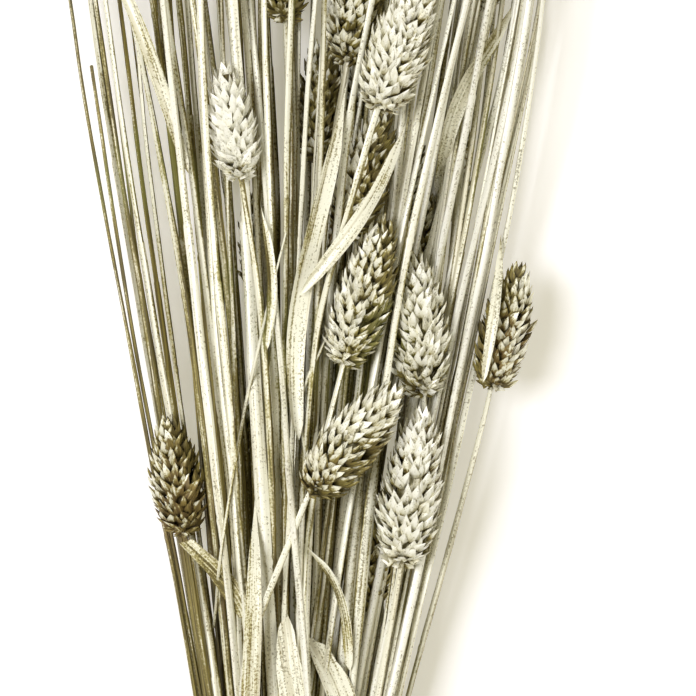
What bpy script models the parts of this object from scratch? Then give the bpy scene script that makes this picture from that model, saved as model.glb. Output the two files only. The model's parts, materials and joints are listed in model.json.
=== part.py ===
"""A tied bundle of dried canary grass, lying on its side on a flat surface.

Every stalk is one grown solid: a straw that is thickest at its cut end, thins
upwards and swells into an egg-shaped seed head. All stalks pass side by side
through a wound twine, fan out above it and flare a little below it. Dry leaf
blades lie among the stalks.

The layout is worked out in three steps. Each stalk first gets a smooth path
from the twine to its seed head. The paths are then settled: wherever two
stalks would share space, both move aside, and everything stays above the
floor. Last, each blade is laid on its own path between the settled stalks.

Frame: X across the bundle, +Y along it towards the seed heads, +Z up. The
origin is the middle of the bundle's footprint, on the surface it lies on.
"""

import math

import bpy
import numpy as np

MM = 0.001
GOLDEN_ANGLE = math.pi * (3.0 - math.sqrt(5.0))
SEED = 11

# Straw
CUT_END_RADIUS = 1.25 * MM
NECK_RADIUS = 0.70 * MM
NECK_RISE = 2.0 * MM
CUT_END_Y = -138.0 * MM
CUT_END_SPREAD = 9.0 * MM

# Seed head: length and greatest radius of a plain one, and its outline as
# (share of the length, share of the greatest radius)
HEAD_LENGTH = 38.0 * MM
HEAD_RADIUS = 7.3 * MM
HEAD_OUTLINE = (
    (0.00, 0.30),
    (0.06, 0.68),
    (0.20, 0.95),
    (0.42, 1.00),
    (0.66, 0.90),
    (0.87, 0.60),
    (1.00, 0.16),
)

# Twine
TWINE_RADIUS = 1.3 * MM
TWINE_TURNS = 5
TWINE_POINTS_PER_TURN = 16

# Gaps between solids that rest on each other
STRAW_GAP = 0.35 * MM
SETTLE_SPARE = 0.12 * MM
SEAT_GAP = 0.30 * MM

# Planes across the bundle that carry the paths' points; between two planes a
# stalk is straight, and between the two nearest the twine it is parallel to Y
GRIP_Y = 16.0 * MM
GRIP_RADIUS = 10.5 * MM
PATH_Y = np.array([-150, -105, -60, -16, 16, 60, 105, 150, 195, 240, 285, 330, 375, 425]) * MM
PROBE_STEP = 5.0 * MM

# Fan: middle, half width and half depth of the bundle at heights above the twine
FAN_Y = np.array([-150, -16, 16, 100, 185, 230, 275, 430]) * MM
FAN_MIDDLE = np.array([-4, -4, -4, -7, -4, -2, -1, 0]) * MM
FAN_HALF_WIDTH = np.array([21, 10.5, 10.5, 27, 40, 49, 58, 86]) * MM
FAN_HALF_DEPTH = np.array([13, 10.5, 10.5, 17, 22, 24, 26, 26]) * MM

# Stalks with a chosen place, in millimetres: seed head's base x, y and tip
# x, y, how high it lies in the fan (-1 lowest, 1 highest), greatest radius
PLACED_STALKS = (
    (28.8, 174.5, 25.5, 211.5, 0.40, 7.7),
    (22.0, 132.0, 27.5, 173.0, 1.00, 7.9),
    (8.0, 181.5, 20.0, 220.0, 0.88, 7.5),
    (-2.0, 151.0, 21.0, 178.5, 0.95, 7.6),
    (-16.8, 228.0, -22.0, 258.0, 0.80, 6.5),
    (20.0, 244.5, 31.0, 278.5, 0.88, 8.0),
    (8.8, 257.0, 14.0, 294.0, 0.30, 7.4),
    (-5.0, 267.5, -5.5, 304.0, 0.10, 6.8),
    (43.0, 273.0, 49.5, 309.0, -0.45, 7.3),
    (8.0, 214.0, 19.0, 247.0, 0.15, 7.0),
    (45.5, 176.0, 53.0, 209.0, 0.20, 6.8),
    (-20.5, 143.0, -15.0, 173.0, -0.25, 6.8),
    (-31.5, 139.0, -36.0, 171.0, 0.20, 6.8),
    (13.5, 120.0, 18.0, 152.0, -0.10, 6.6),
    (1.0, 234.0, 3.0, 267.0, -0.55, 6.8),
    (-46.0, 326.0, -54.0, 362.0, 0.62, 7.2),
)
PLAIN_STALKS = 31
PLAIN_HEAD_Y = (274.0 * MM, 388.0 * MM)

# Blades, in millimetres: points x, y from the blade's foot to its tip, and its greatest width
BLADES = (
    (((-2.5, 164), (-4, 178), (-4, 192), (-1, 207), (3, 223), (7, 238), (9, 252)), 5.6),
    (((-3, 200), (3, 206), (9, 213), (15, 221), (20, 231), (24, 243)), 4.6),
    (((-10.5, 186), (-9, 199), (-10, 210), (-12, 222)), 3.6),
    (((32, 226), (34, 238), (36, 247), (41, 257), (48, 266), (53, 277)), 4.6),
    (((43, 178), (45, 190), (47, 202), (48, 216)), 3.2),
    (((-15, 120), (-18.5, 126), (-23, 131.5), (-28, 135.5), (-33.5, 138.5)), 5.6),
    (((-14, 66), (-14.5, 80), (-15, 96), (-14, 112), (-13.5, 132), (-13.5, 150)), 5.0),
    (((-4, 82), (-2, 96), (-6, 108), (-5, 120)), 8.0),
    (((11, 88), (9, 98), (4, 108), (0, 114)), 7.6),
    (((10, 106), (9, 118), (7.5, 127), (3, 134), (-2, 139)), 3.4),
    (((-30, 230), (-36, 250), (-44, 272), (-55, 292)), 4.2),
    (((30, 290), (38, 308), (44, 328), (47, 350)), 4.4),
)
BLADE_THICKNESS = 0.4 * MM
BLADE_STEP = 9.0 * MM
BLADE_OUTLINE = ((0.0, 0.45), (0.15, 0.80), (0.40, 1.00), (0.70, 0.85), (0.90, 0.50), (1.0, 0.20))

COLOURS = {
    "straw": (0.80, 0.77, 0.66, 1.0),
    "blade": (0.78, 0.76, 0.64, 1.0),
    "twine": (0.46, 0.34, 0.20, 1.0),
}


def fan(values, y):
    """The fan's middle, half width or half depth at heights y."""
    return np.interp(y, FAN_Y, values)


def fan_level(y):
    """The height of the fan's middle above the floor: it rests on its lowest stalks."""
    return fan(FAN_HALF_DEPTH, y) + TWINE_RADIUS * 2 * np.exp(-((y / (60 * MM)) ** 2))


def grip_places(count):
    """Places of the stalks inside the twine: the count points of a hexagonal grid nearest its middle."""
    pitch = 2 * CUT_END_RADIUS + STRAW_GAP
    reach = np.arange(-6, 7)
    a, b = np.meshgrid(reach, reach)
    places = np.stack([(a + b / 2).ravel(), (b * math.sqrt(3) / 2).ravel()], axis=1) * pitch
    order = np.argsort(np.hypot(places[:, 0] - 0.3 * pitch, places[:, 1] - 0.2 * pitch), kind="stable")
    chosen = places[order[:count]]
    return chosen - (chosen.max(0) + chosen.min(0)) / 2


def matched(places, wanted):
    """Deals the places out so that each stalk gets one on its own side, by swaps that shorten the total way."""
    deal = np.arange(len(places))
    cost = ((places[None, :, :] - wanted[:, None, :]) ** 2).sum(2)
    swapped = True
    while swapped:
        swapped = False
        for i in range(len(deal)):
            for j in range(i + 1, len(deal)):
                now = cost[i, deal[i]] + cost[j, deal[j]]
                if cost[i, deal[j]] + cost[j, deal[i]] < now - 1e-12:
                    deal[i], deal[j] = deal[j], deal[i]
                    swapped = True
    return places[deal]


def plan_stalks():
    """Every stalk's seed head: base and tip across and along, height in the fan and radius."""
    draw = np.random.default_rng(SEED)
    rows = [tuple(v * MM for v in r[:4]) + (r[4], r[5] * MM) for r in PLACED_STALKS]
    order = draw.permutation(PLAIN_STALKS)
    low, high = PLAIN_HEAD_Y
    for n in range(PLAIN_STALKS):
        # A sunflower pattern fills the fan's cross-section evenly.
        reach = 0.97 * math.sqrt((n + 0.6) / PLAIN_STALKS)
        side = reach * math.cos(n * GOLDEN_ANGLE)
        level = reach * math.sin(n * GOLDEN_ANGLE)
        base_y = low + (high - low) * (order[n] + draw.uniform(0, 1)) / PLAIN_STALKS
        length = HEAD_LENGTH * draw.uniform(0.85, 1.12)
        base_x = fan(FAN_MIDDLE, base_y) + side * fan(FAN_HALF_WIDTH, base_y) * 0.93
        lean = 0.26 * side + draw.uniform(-0.10, 0.10)
        rows.append(
            (
                base_x,
                base_y,
                base_x + length * math.sin(lean),
                base_y + length * math.cos(lean),
                level,
                HEAD_RADIUS * draw.uniform(0.88, 1.08),
            )
        )
    return np.array(rows)


def first_paths(plan):
    """x and z of every stalk at PATH_Y, before settling: a cubic from the twine to the seed head's base,
    the head's own line above it, and a slight flare below the twine."""
    base_x, base_y, tip_x, tip_y, level, _ = plan.T
    side = np.clip((base_x - fan(FAN_MIDDLE, base_y)) / fan(FAN_HALF_WIDTH, base_y), -1, 1)
    grip = matched(grip_places(len(plan)), np.stack([side, level], 1) * GRIP_RADIUS)
    grip_x = grip[:, 0] + fan(FAN_MIDDLE, 0.0)
    base_z = fan_level(base_y) + level * fan(FAN_HALF_DEPTH, base_y) * 0.86
    slope = (tip_x - base_x) / (tip_y - base_y)
    y = PATH_Y[:, None]
    rise = base_y - GRIP_Y
    t = np.clip((y - GRIP_Y) / rise, 0, 1)
    ease = 3 * t**2 - 2 * t**3
    blend = 0.55 * t + 0.45 * ease
    x = grip_x + (base_x - grip_x) * blend
    x = x + (t**3 - t**2) * (slope * rise - 0.55 * (base_x - grip_x))
    x = np.where(y > base_y, base_x + slope * (y - base_y), x)
    grip_z = grip[:, 1] + fan_level(0.0)
    z = grip_z + (base_z - grip_z) * blend
    below = np.clip(-GRIP_Y - y, 0, None) / (134 * MM)
    flare = 0.85 * below**1.3
    x = x + grip[:, 0] * flare
    z = z + grip[:, 1] * flare * 0.45 - below * 2.0 * MM
    return x, z


def straw_radius(y, base_y):
    """A straw's radius at height y: it thins evenly from its cut end to its seed head's base."""
    share = np.clip((y - CUT_END_Y) / (base_y - CUT_END_Y), 0, 1)
    return CUT_END_RADIUS + (NECK_RADIUS - CUT_END_RADIUS) * share


def stations(row, cut_y):
    """Heights along one stalk at which it is drawn, and its radius at each."""
    base_y, tip_y, greatest = row[1], row[3], row[5]
    straw_y = PATH_Y[(PATH_Y > cut_y + 5 * MM) & (PATH_Y < base_y - 8 * MM)]
    straw_y = np.concatenate([[cut_y], straw_y, [base_y - NECK_RISE]])
    shares, radii = np.array(HEAD_OUTLINE).T
    head_y = base_y + shares * (tip_y - base_y)
    radius = np.concatenate([straw_radius(straw_y, base_y), greatest * radii])
    return np.concatenate([straw_y, head_y]), radius


def between(knots, wanted):
    """The matrix that reads a line through values at the knots at each wanted place."""
    return np.array([np.interp(wanted, knots, row) for row in np.eye(len(knots))]).T


class Probes:
    """Sections through all stalks every PROBE_STEP along the bundle, read from the paths' points."""

    def __init__(self, drawn, x, z):
        self.y = np.arange(PATH_Y[0], PATH_Y[-1], PROBE_STEP)
        self.read = np.stack([between(y, self.y) @ between(PATH_Y, y) for y, _ in drawn])
        half_step = PROBE_STEP / 2
        self.there = np.stack([np.abs(self.y - np.clip(self.y, y[0], y[-1])) <= half_step for y, _ in drawn], 1)
        # Each section stands for the widest one within half a step of it.
        near = self.y + np.linspace(-half_step, half_step, 7)[:, None]
        radius = np.stack([np.interp(near, y, r).max(0) for y, r in drawn], axis=1)
        # A leaning round stalk is longer across by its lean.
        self.half_x = radius * np.hypot(1, np.gradient(self.at(x), self.y, axis=0))
        self.half_z = radius * np.hypot(1, np.gradient(self.at(z), self.y, axis=0))

    def at(self, path):
        return np.einsum("spk,ks->ps", self.read, path)

    def back(self, section):
        """What the sections add up to at each of the paths' points."""
        return np.einsum("spk,ps->ks", self.read, section)


def pushes(x, z, probes, keep):
    """How far each section has to move so that no two share space. Two sections are apart when the second
    lies outside the ellipse whose half axes are the sums of theirs. keep is each one's share of staying put."""
    apart = STRAW_GAP + SETTLE_SPARE
    dx = x[:, :, None] - x[:, None, :]
    dz = z[:, :, None] - z[:, None, :]
    ax = probes.half_x[:, :, None] + probes.half_x[:, None, :] + apart
    az = probes.half_z[:, :, None] + probes.half_z[:, None, :] + apart
    far = np.sqrt((dx / ax) ** 2 + (dz / az) ** 2) + 1e-9
    hit = (far < 1) & probes.there[:, :, None] & probes.there[:, None, :]
    hit[:, np.arange(x.shape[1]), np.arange(x.shape[1])] = False
    part = keep[:, None, :] / (keep[:, :, None] + keep[:, None, :])
    way = np.where(hit, (1 / far - 1) * part, 0)
    return (way * dx).sum(2), (way * dz).sum(2), hit.any(2)


def settle(plan, drawn, rounds=900):
    """Moves the paths' points until the stalks lie clear of each other on the floor. The way each path has
    moved stays smooth along it, so the straws stay straight or gently bent."""
    x0, z0 = first_paths(plan)
    x, z = x0.copy(), z0.copy()
    probes = Probes(drawn, x0, z0)
    placed = np.arange(len(plan)) < len(PLACED_STALKS)
    keep = np.where(probes.half_z > 3 * MM, 3.0, 1.0) * np.where(placed, 4.0, 1.0)
    held = np.abs(PATH_Y) <= GRIP_Y + 1e-9
    sink = 0.030 * MM * np.clip((PATH_Y - 60 * MM) / (120 * MM), 0, 1)[:, None]
    for n in range(rounds):
        px, pz, hit = pushes(probes.at(x), probes.at(z), probes, keep)
        over = np.where(probes.there, np.clip(probes.half_z - (probes.at(z) + pz), 0, None), 0)
        pz = pz + over
        weight = probes.back(hit | (over > 0)) + 0.15
        x += 0.9 * probes.back(px) / weight
        z += 0.9 * probes.back(pz) / weight
        if n < rounds * 0.8:
            z -= sink
            for now, first in ((x, x0), (z, z0)):
                moved = now - first
                moved[1:-1] += 0.22 * ((moved[:-2] + moved[2:]) / 2 - moved[1:-1])
                now[:] = first + moved * 0.997
        x[held], z[held] = x0[held], z0[held]
    return x, z


def clear_scene():
    for found in list(bpy.data.objects):
        bpy.data.objects.remove(found, do_unlink=True)


def make_material(name):
    material = bpy.data.materials.new(name)
    material.use_nodes = True
    shader = material.node_tree.nodes["Principled BSDF"]
    shader.inputs["Base Color"].default_value = COLOURS[name]
    shader.inputs["Roughness"].default_value = 0.6
    shader.inputs["Metallic"].default_value = 0.0
    return material


def curve_object(name, points, radii, material, collection):
    """A POLY curve through points, whose width at each is that radius times the curve's own depth."""
    data = bpy.data.curves.new(name, "CURVE")
    data.dimensions = "3D"
    spline = data.splines.new("POLY")
    spline.points.add(len(points) - 1)
    for point, place, radius in zip(spline.points, points, radii):
        point.co = (*place, 1.0)
        point.radius = radius / MM
    data.materials.append(material)
    made = bpy.data.objects.new(name, data)
    collection.objects.link(made)
    return made


def make_tube(name, points, radii, material, collection, sides=8):
    made = curve_object(name, points, radii, material, collection)
    made.data.bevel_depth = MM
    made.data.bevel_resolution = sides // 2 - 2
    made.data.use_fill_caps = True
    return made


def cover(x, y, below):
    """How high the pieces below reach at places x, y. Each piece is its points, its half width across X and
    half height at them, and how square its section is: 2 for a round one."""
    high = np.zeros(x.shape)
    for points, flat, tall, square in below:
        there = (y > points[0, 1] - STRAW_GAP) & (y < points[-1, 1] + STRAW_GAP)
        wide = np.interp(y, points[:, 1], flat) + STRAW_GAP
        aside = np.abs(np.interp(y, points[:, 1], points[:, 0]) - x) / wide
        rise = np.clip(1 - aside**square, 0, 1) ** (1 / square)
        top = np.interp(y, points[:, 1], points[:, 2]) + rise * (np.interp(y, points[:, 1], tall) + STRAW_GAP)
        high = np.where(there & (aside < 1), np.maximum(high, top), high)
    return high


def leaning(points, half, axis):
    """Half widths, across X or Z, of the level section through a piece that leans that way."""
    return half * np.hypot(1, np.gradient(points[:, axis], points[:, 1]))


def lay_blade(route, width, below):
    """A blade's points and half widths. It is laid along its route like a limp strip: it sinks until it rests
    on the highest pieces below it, anywhere across its width."""
    route = np.array(route) * MM
    count = max(5, round(float(np.ptp(route[:, 1])) / BLADE_STEP) + 1)
    y = np.linspace(route[0, 1], route[-1, 1], count)
    x = np.interp(y, route[:, 1], route[:, 0])
    shares, outline = np.array(BLADE_OUTLINE).T
    half = width / 2 * np.interp(np.linspace(0, 1, count), shares, outline)
    read = between(y, np.linspace(y[0], y[-1], (count - 1) * 9 + 1))
    slope = np.gradient(read @ x, read @ y)
    across = np.stack([np.ones(len(slope)), -slope]) / np.hypot(1, slope)
    offset = np.linspace(-1, 1, 9)[:, None] * (read @ half)
    under = cover(read @ x + offset * across[0], read @ y + offset * across[1], below).max(0)
    under = under + BLADE_THICKNESS / 2 + SETTLE_SPARE
    z = np.full(count, under.max())
    for n in range(600):
        if n < 500:
            z -= 0.02 * MM
            z[1:-1] += 0.25 * ((z[:-2] + z[2:]) / 2 - z[1:-1])
        lift = np.clip(under - read @ z, 0, None)
        z += (read.T @ lift) / (read.T @ (lift > 0) + 0.1)
    return np.stack([x, y, z], axis=1), half


def make_blade(name, points, half, material, collection):
    """A flat ribbon: the curve is extruded to both sides, laid flat by its tilt and given its thickness."""
    made = curve_object(name, points, half, material, collection)
    made.data.extrude = MM
    made.data.twist_mode = "Z_UP"
    for point in made.data.splines[0].points:
        point.tilt = math.pi / 2
    thickness = made.modifiers.new("Thickness", "SOLIDIFY")
    thickness.thickness = BLADE_THICKNESS
    thickness.offset = 0
    return made


def make_twine(stalks, material, collection):
    """The twine: a close coil whose turns lie side by side around the gripped straws."""
    middle, reach = grip_circle(stalks)
    # The coil is drawn with straight pieces, whose middles must clear the straws.
    chord = math.cos(math.pi / TWINE_POINTS_PER_TURN)
    radius = (reach + SEAT_GAP + TWINE_RADIUS) / chord
    pitch = 2 * TWINE_RADIUS + SEAT_GAP
    turn = np.linspace(0, TWINE_TURNS, TWINE_TURNS * TWINE_POINTS_PER_TURN + 1)
    angle = 2 * math.pi * turn
    points = np.stack(
        [
            middle[0] + radius * np.cos(angle),
            pitch * (turn - TWINE_TURNS / 2),
            middle[1] + radius * np.sin(angle),
        ],
        axis=1,
    )
    return make_tube("twine", points, np.full(len(points), TWINE_RADIUS), material, collection)


def grip_circle(stalks):
    """Middle and radius of the circle around all the straws where the twine grips them."""
    at_grip = [[np.interp(0, p[:, 1], values) for values in (p[:, 0], p[:, 2], r)] for p, r in stalks]
    x, z, radius = np.array(at_grip).T
    middle = ((x.max() + x.min()) / 2, (z.max() + z.min()) / 2)
    return middle, (np.hypot(x - middle[0], z - middle[1]) + radius).max()


def stand_on_origin(collection):
    """Moves everything so that the middle of the bundle's footprint is the origin."""
    bpy.context.view_layer.update()
    graph = bpy.context.evaluated_depsgraph_get()
    corners = []
    for made in collection.objects:
        mesh = made.evaluated_get(graph).to_mesh()
        places = np.empty(len(mesh.vertices) * 3, np.float32)
        mesh.vertices.foreach_get("co", places)
        places = places.reshape(-1, 3)
        corners += [places.min(0), places.max(0)]
    low, high = np.min(corners, axis=0), np.max(corners, axis=0)
    shift = ((low[0] + high[0]) / 2, (low[1] + high[1]) / 2, low[2])
    for made in collection.objects:
        made.location = [-float(v) for v in shift]


def main():
    clear_scene()
    collection = bpy.data.collections.new("canary_grass_bundle")
    bpy.context.scene.collection.children.link(collection)
    material = {name: make_material(name) for name in COLOURS}
    plan = plan_stalks()
    cut_y = CUT_END_Y + CUT_END_SPREAD * np.cos(np.arange(len(plan)) * GOLDEN_ANGLE)
    drawn = [stations(row, cut) for row, cut in zip(plan, cut_y)]
    path_x, path_z = settle(plan, drawn)
    stalks = []
    for n, (y, radius) in enumerate(drawn):
        points = np.stack([np.interp(y, PATH_Y, path_x[:, n]), y, np.interp(y, PATH_Y, path_z[:, n])], axis=1)
        make_tube(f"stalk_{n + 1:02d}", points, radius, material["straw"], collection)
        stalks.append((points, radius))
    below = [(p, leaning(p, r, 0), leaning(p, r, 2), 2) for p, r in stalks]
    for n, (route, width) in enumerate(BLADES):
        points, half = lay_blade(route, width * MM, below)
        make_blade(f"leaf_blade_{n + 1:02d}", points, half, material["blade"], collection)
        thick = leaning(points, np.full(len(half), BLADE_THICKNESS / 2), 2)
        below.append((points, leaning(points, half, 0), thick, 8))
    make_twine(stalks, material["twine"], collection)
    stand_on_origin(collection)


main()
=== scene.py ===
import functools
import json
import math
import typing

import bpy
import numpy as np
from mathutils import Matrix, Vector

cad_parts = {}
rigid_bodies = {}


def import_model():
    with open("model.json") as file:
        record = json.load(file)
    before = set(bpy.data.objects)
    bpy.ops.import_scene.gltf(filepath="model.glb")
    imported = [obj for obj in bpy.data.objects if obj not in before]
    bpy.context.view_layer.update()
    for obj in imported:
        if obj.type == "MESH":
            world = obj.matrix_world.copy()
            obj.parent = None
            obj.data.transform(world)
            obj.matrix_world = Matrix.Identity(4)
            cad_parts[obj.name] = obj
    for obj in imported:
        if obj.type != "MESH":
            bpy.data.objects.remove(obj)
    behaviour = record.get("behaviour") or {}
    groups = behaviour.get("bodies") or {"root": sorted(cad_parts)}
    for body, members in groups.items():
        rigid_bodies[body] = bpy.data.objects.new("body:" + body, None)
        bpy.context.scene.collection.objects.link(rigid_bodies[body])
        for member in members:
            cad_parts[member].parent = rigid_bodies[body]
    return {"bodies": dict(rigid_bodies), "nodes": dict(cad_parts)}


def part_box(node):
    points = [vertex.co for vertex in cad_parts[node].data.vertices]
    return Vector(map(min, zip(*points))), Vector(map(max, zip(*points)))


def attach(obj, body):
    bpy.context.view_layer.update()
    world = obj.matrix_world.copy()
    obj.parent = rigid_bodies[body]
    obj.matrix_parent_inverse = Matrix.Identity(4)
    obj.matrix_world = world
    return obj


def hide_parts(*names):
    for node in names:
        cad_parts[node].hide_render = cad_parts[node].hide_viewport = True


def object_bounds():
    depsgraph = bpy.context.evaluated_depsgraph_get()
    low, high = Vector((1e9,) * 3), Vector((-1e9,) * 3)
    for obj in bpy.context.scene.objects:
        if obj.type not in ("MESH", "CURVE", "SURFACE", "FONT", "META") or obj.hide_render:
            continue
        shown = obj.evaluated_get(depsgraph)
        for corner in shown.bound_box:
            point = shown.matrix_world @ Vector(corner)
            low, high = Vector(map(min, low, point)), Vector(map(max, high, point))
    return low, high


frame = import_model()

bl_info = {
    "name": "Dried canary grass bundle",
    "version": (1, 0, 0),
    "blender": (4, 5, 0),
    "location": "View3D > Sidebar > Canary Grass",
    "description": "Grows straws, seed heads, dry leaves and a twine tie over a packed bundle",
    "category": "Object",
}

MM = 0.001
TURN = 2.0 * math.pi
GOLDEN_ANGLE = math.pi * (3.0 - math.sqrt(5.0))
UP = np.array([0.0, 0.0, 1.0])

# The paint was sprayed from above and from the left, so it lies thickest on faces that look that way
SPRAY = np.array([-0.6, 0.0, 0.8])

# A packed stalk is a row of rings of points, the last of them round its seed head
RING_POINTS = 8
HEAD_RINGS = 7

PACKED = (*frame["nodes"].values(), *frame["bodies"].values())
for startup in [each for each in bpy.data.objects if each not in PACKED]:
    bpy.data.objects.remove(startup, do_unlink=True)
CAD_BOX = [list(corner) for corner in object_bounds()]
STALKS = sorted(name for name in frame["nodes"] if name.startswith("stalk_"))
BLADES = sorted(name for name in frame["nodes"] if name.startswith("leaf_blade_"))

# The middle of the tie, from which everything else is placed
TIE_LOW, TIE_HIGH = (np.array(corner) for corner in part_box("twine"))
TIE = (TIE_LOW + TIE_HIGH) / 2


# ---------------------------------------------------------------- settings


def length_setting(name, description, default, low, high):
    """A length, given here in millimetres."""
    return bpy.props.FloatProperty(
        name=name, description=description, default=default * MM, min=low * MM, max=high * MM, unit="LENGTH")


def share_setting(name, description, default, low, high):
    """A size as a share of another one."""
    return bpy.props.FloatProperty(
        name=name, description=description, default=default, min=low, max=high, subtype="FACTOR")


def count_setting(name, description, default, low, high):
    """How many there are of something."""
    return bpy.props.IntProperty(name=name, description=description, default=default, min=low, max=high)


def colour_setting(name, description, red, green, blue):
    """An opaque colour."""
    return bpy.props.FloatVectorProperty(
        name=name, description=description, default=(red, green, blue, 1.0), min=0.0, max=1.0, size=4,
        subtype="COLOR")


class CanaryGrassSizes(bpy.types.PropertyGroup):
    """Sizes of the bundle's parts."""

    straw_share: share_setting(
        "Straw thickness", "Straw radius as a share of the solid straw's", 0.94, 0.5, 1.0)
    knot_swell: share_setting(
        "Knot swell", "How much a knot in the straw is thicker than the straw", 0.20, 0.0, 0.5)
    sheath_swell: share_setting(
        "Sheath swell", "How much the leaf sheath above a knot thickens the straw", 0.15, 0.0, 0.4)
    spikelet_length: length_setting(
        "Spikelet length", "Length of one spikelet from its foot to its point", 5.8, 2.0, 12.0)
    spikelet_width: length_setting("Spikelet width", "Greatest width of one spikelet", 4.3, 1.0, 6.0)
    spikelet_room: length_setting(
        "Spikelet spacing", "Side of the square of seed head that one spikelet covers", 3.25, 2.0, 6.0)
    thin_count: count_setting(
        "Thin stalks", "How many thin stalks fill the bundle between the thick ones", 102, 0, 120)
    thin_radius: length_setting("Thin straw radius", "Radius of a thin straw at its cut end", 0.62, 0.3, 1.0)
    broad_sheaths: count_setting(
        "Broad sheaths", "How many upper straws carry a loose, broad leaf sheath", 16, 0, 40)
    close_sheaths: count_setting("Close sheaths", "How many leaf sheaths wrap a straw closely", 30, 0, 60)
    leaf_thickness: length_setting("Leaf thickness", "Thickness of a dry leaf", 0.16, 0.05, 0.4)
    twine_turns: count_setting("Twine turns", "How often the twine is wound round the straws", 5, 1, 8)
    twine_radius: length_setting("Twine radius", "Half the twine's thickness", 1.3, 0.5, 2.0)


class CanaryGrassColours(bpy.types.PropertyGroup):
    """Colours of the bundle and of its stage."""

    paint: colour_setting("Paint", "Champagne paint in full light", 0.94, 0.92, 0.74)
    thick_paint: colour_setting("Thick paint", "The same paint where it lies very thick", 1.0, 0.985, 0.86)
    thin_paint: colour_setting("Thin paint", "The same paint where it lies thin", 0.50, 0.43, 0.135)
    straw: colour_setting("Straw", "Bare dry straw", 0.31, 0.25, 0.052)
    old_straw: colour_setting("Old straw", "Bare straw in its darker streaks", 0.125, 0.095, 0.016)
    green: colour_setting("Green", "Straw that dried green", 0.24, 0.24, 0.045)
    rust: colour_setting("Rust", "Weathered patches of straw", 0.32, 0.17, 0.07)
    twine: colour_setting("Twine", "Jute fibre", 0.36, 0.24, 0.12)
    floor: colour_setting("Floor", "The surface that the bundle lies on", 0.91, 0.905, 0.95)


# ---------------------------------------------------------------- reading the frame


def numbers(items, name, width, kind=np.float64):
    """One property of every item of a mesh, as rows."""
    found = np.empty(len(items) * width, kind)
    items.foreach_get(name, found)
    return found.reshape(-1, width) if width > 1 else found


def crossings(node, heights):
    """Where the planes y = height cut a solid: the middle and the half size of each cut, along X and Z.
    Every edge that spans a plane gives one point of the cut, by its share of the way along the edge."""
    data = frame["nodes"][node].data
    data.calc_loop_triangles()
    corner = numbers(data.vertices, "co", 3)[numbers(data.loop_triangles, "vertices", 3, np.int32)]
    start = corner.reshape(-1, 3)
    end = np.roll(corner, -1, axis=1).reshape(-1, 3)
    rise = end[:, 1] - start[:, 1]
    rise = np.where(np.abs(rise) < 1e-12, np.nan, rise)
    share = (np.asarray(heights)[:, None] - start[:, 1]) / rise
    share = np.where((share >= 0) & (share <= 1), share, np.nan)
    cut = start[None, :, [0, 2]] + share[:, :, None] * (end - start)[None, :, [0, 2]]
    low, high = np.nanmin(cut, axis=1), np.nanmax(cut, axis=1)
    return (low + high) / 2, (high - low) / 2


def smoothed(rows, reach):
    """The mean of each row and its neighbours up to reach away, twice. Both ends go on in a straight line."""
    for _ in range(2):
        before = 2 * rows[:1] - rows[reach:0:-1]
        after = 2 * rows[-1:] - rows[-2 : -reach - 2 : -1]
        padded = np.concatenate([before, rows, after])
        total = np.cumsum(np.concatenate([np.zeros((1, rows.shape[1])), padded]), axis=0)
        rows = (total[2 * reach + 1 :] - total[: -2 * reach - 1]) / (2 * reach + 1)
    return rows


def lengths(path):
    """How far along a path each of its points is."""
    step = np.linalg.norm(np.diff(path, axis=0), axis=1)
    return np.concatenate([[0.0], np.cumsum(step)])


def at(places, along, path):
    """The points of a path at given distances along it."""
    return np.stack([np.interp(places, along, path[:, k]) for k in range(path.shape[1])], axis=1)


class Stalk(typing.NamedTuple):
    """One stalk as packed: the middle line of its straw, the straw's radius along it, and its seed head's
    base, tip and outline (shares of the way from base to tip, and how far the head reaches there)."""

    path: np.ndarray
    radius: np.ndarray
    base: np.ndarray
    tip: np.ndarray
    shares: np.ndarray
    reach: np.ndarray


@functools.cache
def packed_stalk(node):
    """Reads a packed stalk ring by ring. Its points are put in order along it: by their y up the straw, and
    along the head's own axis, the longest direction of its points, round the head."""
    points = np.unique(numbers(frame["nodes"][node].data.vertices, "co", 3).round(7), axis=0)
    points = points[np.argsort(points[:, 1])]
    head = points[-RING_POINTS * (HEAD_RINGS + 1) :]
    from_middle = head - head.mean(axis=0)
    axis = np.linalg.svd(from_middle, full_matrices=False)[2][0]
    head = head[np.argsort(from_middle @ axis * np.sign(axis[1]))]
    rings = np.concatenate([points[: -len(head)], head]).reshape(-1, RING_POINTS, 3)
    middle = rings.mean(axis=1)
    reach = np.linalg.norm(rings - middle[:, None], axis=2).mean(axis=1)
    knots = middle[: 1 - HEAD_RINGS]
    along = lengths(knots)
    places = np.arange(0, along[-1], 1.5 * MM)
    straw = smoothed(at(places, along, knots), 7)
    radius = np.interp(places, along[:-1], reach[:-HEAD_RINGS])
    head = middle[-HEAD_RINGS:]
    return Stalk(straw, radius, head[0], head[-1], lengths(head) / lengths(head)[-1], reach[-HEAD_RINGS:])


@functools.cache
def packed_stalks():
    return [packed_stalk(node) for node in STALKS]


@functools.cache
def bundle_heights():
    """How high the bundle's lowest and highest straws lie, every 10 mm along it."""
    heights = np.arange(-0.29, 0.30, 0.010)
    lines = np.array([np.interp(heights, stalk.path[:, 1], stalk.path[:, 2]) for stalk in packed_stalks()])
    return heights, lines.min(axis=0), lines.max(axis=0)


def height_share(points):
    """0 for points at the bottom of the bundle, 1 at its top."""
    heights, low, high = bundle_heights()
    floor = np.interp(points[..., 1], heights, low)
    top = np.interp(points[..., 1], heights, high)
    return np.clip((points[..., 2] - floor) / (top - floor), -0.3, 1.3)


# ---------------------------------------------------------------- surfaces


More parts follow.
